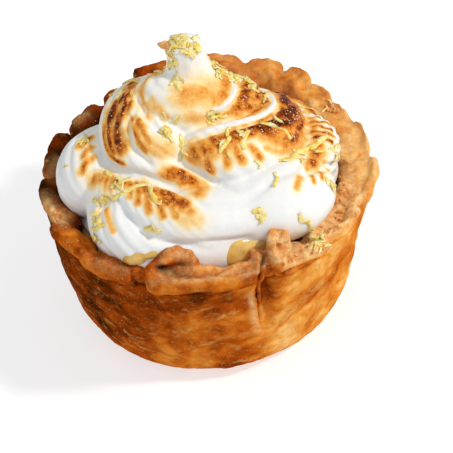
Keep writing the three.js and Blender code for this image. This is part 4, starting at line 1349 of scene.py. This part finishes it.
def tangle(spot, spread, count, chance):
    """Lines of pixels of a tuft of short curly shreds."""
    lines = []
    for _ in range(count):
        at = [chance.gauss(spot[k], spread[k]) for k in (0, 1)]
        heading, bend = chance.uniform(0, ANY_TURN), chance.uniform(-0.5, 0.5)
        line = []
        for _ in range(chance.randint(4, 7)):
            line.append(tuple(at))
            at = [at[0] + TUFT_STEP * math.cos(heading), at[1] + TUFT_STEP * math.sin(heading)]
            heading += bend + chance.uniform(-0.25, 0.25)
        lines.append((chance.uniform(*TUFT_WIDTHS), line))
    return lines


def shreds_behind(tree, chance):
    """Shreds scattered over the back, each following the surface for a few millimetres."""
    strips = []
    for _ in range(SHREDS_BEHIND):
        above = Vector(polar(chance.uniform(5, 175), chance.uniform(5, 30), 100))
        heading, run, width = chance.uniform(0, ANY_TURN), chance.uniform(2.5, 6), chance.uniform(0.6, 1.2)
        point, normal, _, _ = tree.ray_cast(above, Vector((0, 0, -1)))
        if point is not None and point.z > CURD_HEIGHT + SHREDS_BEHIND_FOOT:
            side = Quaternion(normal, heading) @ normal.orthogonal().normalized()
            steps = [point + run * (step / 5 - 0.5) * side for step in range(6)]
            spots = [tree.find_nearest(step) for step in steps]
            points, away = np.array([spot[0] for spot in spots]), np.array([spot[1] for spot in spots])
            strips.append(shred(points, away, width, chance))
    return strips


def zest_piece(meringue_tree, crust_tree):
    """Makes all the shreds of zest, on the meringue and on the pastry."""
    chance = random.Random(5)
    strips = []
    tufts = [line for tuft in TUFTS for line in tangle(*tuft, chance)]
    tufts_on_pastry = [line for tuft in TUFTS_ON_PASTRY for line in tangle(*tuft, chance)]
    for tree, table in ((meringue_tree, SHREDS + tufts), (crust_tree, SHREDS_ON_PASTRY + tufts_on_pastry)):
        for width, pixels in table:
            points, away = traced(tree, pixels)
            if len(points) > 2:
                strips.append(shred(points, away, ZEST_WIDENING * width, chance))
    strips += shreds_behind(meringue_tree, chance)
    piece = finished("lemon_zest", gathered(strips), ZEST_SKIN)
    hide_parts("meringue")


# ---- Crumbs ------------------------------------------------------------------------------------

# Loose crumbs of pastry: the pixel of the middle, how far they spread, how many, and their largest
# radius in millimetres.
CRUMBS = [
    ((56, 218), (3, 4), 11, 1.0), ((342, 190), (4, 12), 12, 0.7), ((338, 222), (5, 8), 12, 0.8),
    ((320, 250), (9, 4), 9, 0.7), ((333, 108), (5, 6), 8, 0.7), ((290, 260), (8, 4), 5, 0.6),
]
TIP_CRUMBS = [((168, 40), 1.3), ((167, 45), 1.5), ((169, 49), 0.9)]  # with their radius
TIP_CRUMB_ASIDE = 0.45  # how far they stand out to the left of the tip
CRUMB_BAKE, CRUMB_PALENESS = 0.3, 0.85


def crumb(place, radius, chance):
    """A rough, squashed crumb of pastry."""
    bm = bmesh.new()
    bmesh.ops.create_icosphere(bm, subdivisions=3, radius=radius)
    co = places(bm)
    bumps = noise_at(co, 1.2 * radius, seed=chance.random())
    rough = 1 + 0.6 * bumps + 0.5 * crumbs_at(co, radius, chance.random())
    squash = np.array([chance.uniform(0.5, 1.2) for _ in range(3)])
    move_to(bm, co * rough[:, None] * squash + np.array(place))
    return bm


def crumb_piece(crust_tree, meringue_tree):
    """Makes the loose crumbs on the rim and the cluster on the tip."""
    chance = random.Random(9)
    bits = []
    for (u, v), (wide, high), count, largest in CRUMBS:
        for _ in range(count):
            pixel = (chance.gauss(u, 0.6 * wide), chance.gauss(v, 0.6 * high))
            point, normal, _, _ = crust_tree.ray_cast(EYE, sight(pixel))
            radius = largest * chance.uniform(0.35, 1)
            if point is not None and normal.z > 0.1:
                bits.append(crumb(point + 0.4 * radius * normal, radius, chance))
    for pixel, radius in TIP_CRUMBS:
        point, normal, _, _ = meringue_tree.ray_cast(EYE, sight(pixel))
        if point is not None:
            bits.append(crumb(point - TIP_CRUMB_ASIDE * EYE_RIGHT, radius, chance))
    bm = gathered(bits)
    count = len(bm.verts)
    values = {"bake_and_shade": [CRUMB_BAKE] * count, "pale": [CRUMB_PALENESS] * count}
    piece = finished("pastry_crumbs", bm, PASTRY_SKIN, values)


# ---- Floor, light and camera -------------------------------------------------------------------


FLOOR_SIZE = 4  # metres
FLOOR_DROP = 0.0002  # metres below the base, so that the two don't touch
FLOOR_GLOW = 0.62  # light that the pale floor gives off by itself
WORLD_GLOW = 0.43


def set_stage():
    """Makes the pale paper that the pie stands on."""
    bpy.ops.mesh.primitive_plane_add(size=FLOOR_SIZE, location=(0, 0, -FLOOR_DROP))
    floor = bpy.context.object
    floor.name = "floor"
    material, tree, shader = new_material("paper_backdrop")
    shade = ramp(tree, pattern(tree, 40, detail=2), [(0.0, tint("#B4B4B4")), (1.0, tint("#BCBCBC"))])
    tree.links.new(shade, shader.inputs["Base Color"])
    shader.inputs["Roughness"].default_value = 0.9
    shader.inputs["Emission Color"].default_value = (1, 1, 1, 1)
    shader.inputs["Emission Strength"].default_value = FLOOR_GLOW
    floor.data.materials.append(material)


def area_light(name, azimuth, elevation, size, power, colour):
    """A square lamp a metre from the pie; azimuth 0 is the front and 90 the right."""
    a, e = math.radians(azimuth), math.radians(elevation)
    lamp = bpy.data.lights.new(name, "AREA")
    lamp.shape, lamp.size, lamp.energy, lamp.color = "SQUARE", size, power, colour
    light = bpy.data.objects.new(name, lamp)
    direction = Vector((math.sin(a) * math.cos(e), -math.cos(a) * math.cos(e), math.sin(e)))
    light.location = Vector((0, 0, AIM_HEIGHT * MM)) + direction
    light.rotation_mode = "QUATERNION"
    light.rotation_quaternion = direction.to_track_quat("Z", "Y")
    bpy.context.scene.collection.objects.link(light)


def set_lights():
    """A small sun from the right, a wide sky from the left and an even glow all round."""
    area_light("sun", azimuth=68, elevation=46, size=0.1, power=6.15, colour=(1.0, 0.98, 0.94))
    area_light("sky", azimuth=-55, elevation=55, size=1.2, power=2.6, colour=(0.92, 0.96, 1.0))
    world = bpy.data.worlds.new("studio")
    world.use_nodes = True
    background = world.node_tree.nodes["Background"]
    background.inputs["Color"].default_value = (0.96, 0.98, 1.0, 1)
    background.inputs["Strength"].default_value = WORLD_GLOW
    bpy.context.scene.world = world
    bpy.context.scene.view_settings.view_transform = "Standard"


def set_camera():
    """The camera whose pixels the shreds, strokes and creases are given in."""
    data = bpy.data.cameras.new("camera")
    data.sensor_width = SENSOR_WIDTH
    data.lens = FOCAL_PIXELS / VIEW_PIXELS * data.sensor_width
    camera = bpy.data.objects.new("camera", data)
    axes = Matrix((EYE_RIGHT, EYE_UP, -EYE_FORWARD)).transposed().to_4x4()
    place = (EYE + Vector((*AXIS_OFFSET, 0))) * MM
    camera.matrix_world = Matrix.Translation(place) @ axes
    data.clip_start = NEAREST_SEEN
    bpy.context.scene.collection.objects.link(camera)
    bpy.context.scene.camera = camera


crust_tree = crust_piece()
curd_piece()
meringue_tree = meringue_piece()
zest_piece(meringue_tree, crust_tree)
crumb_piece(crust_tree, meringue_tree)
set_stage()
set_lights()
set_camera()
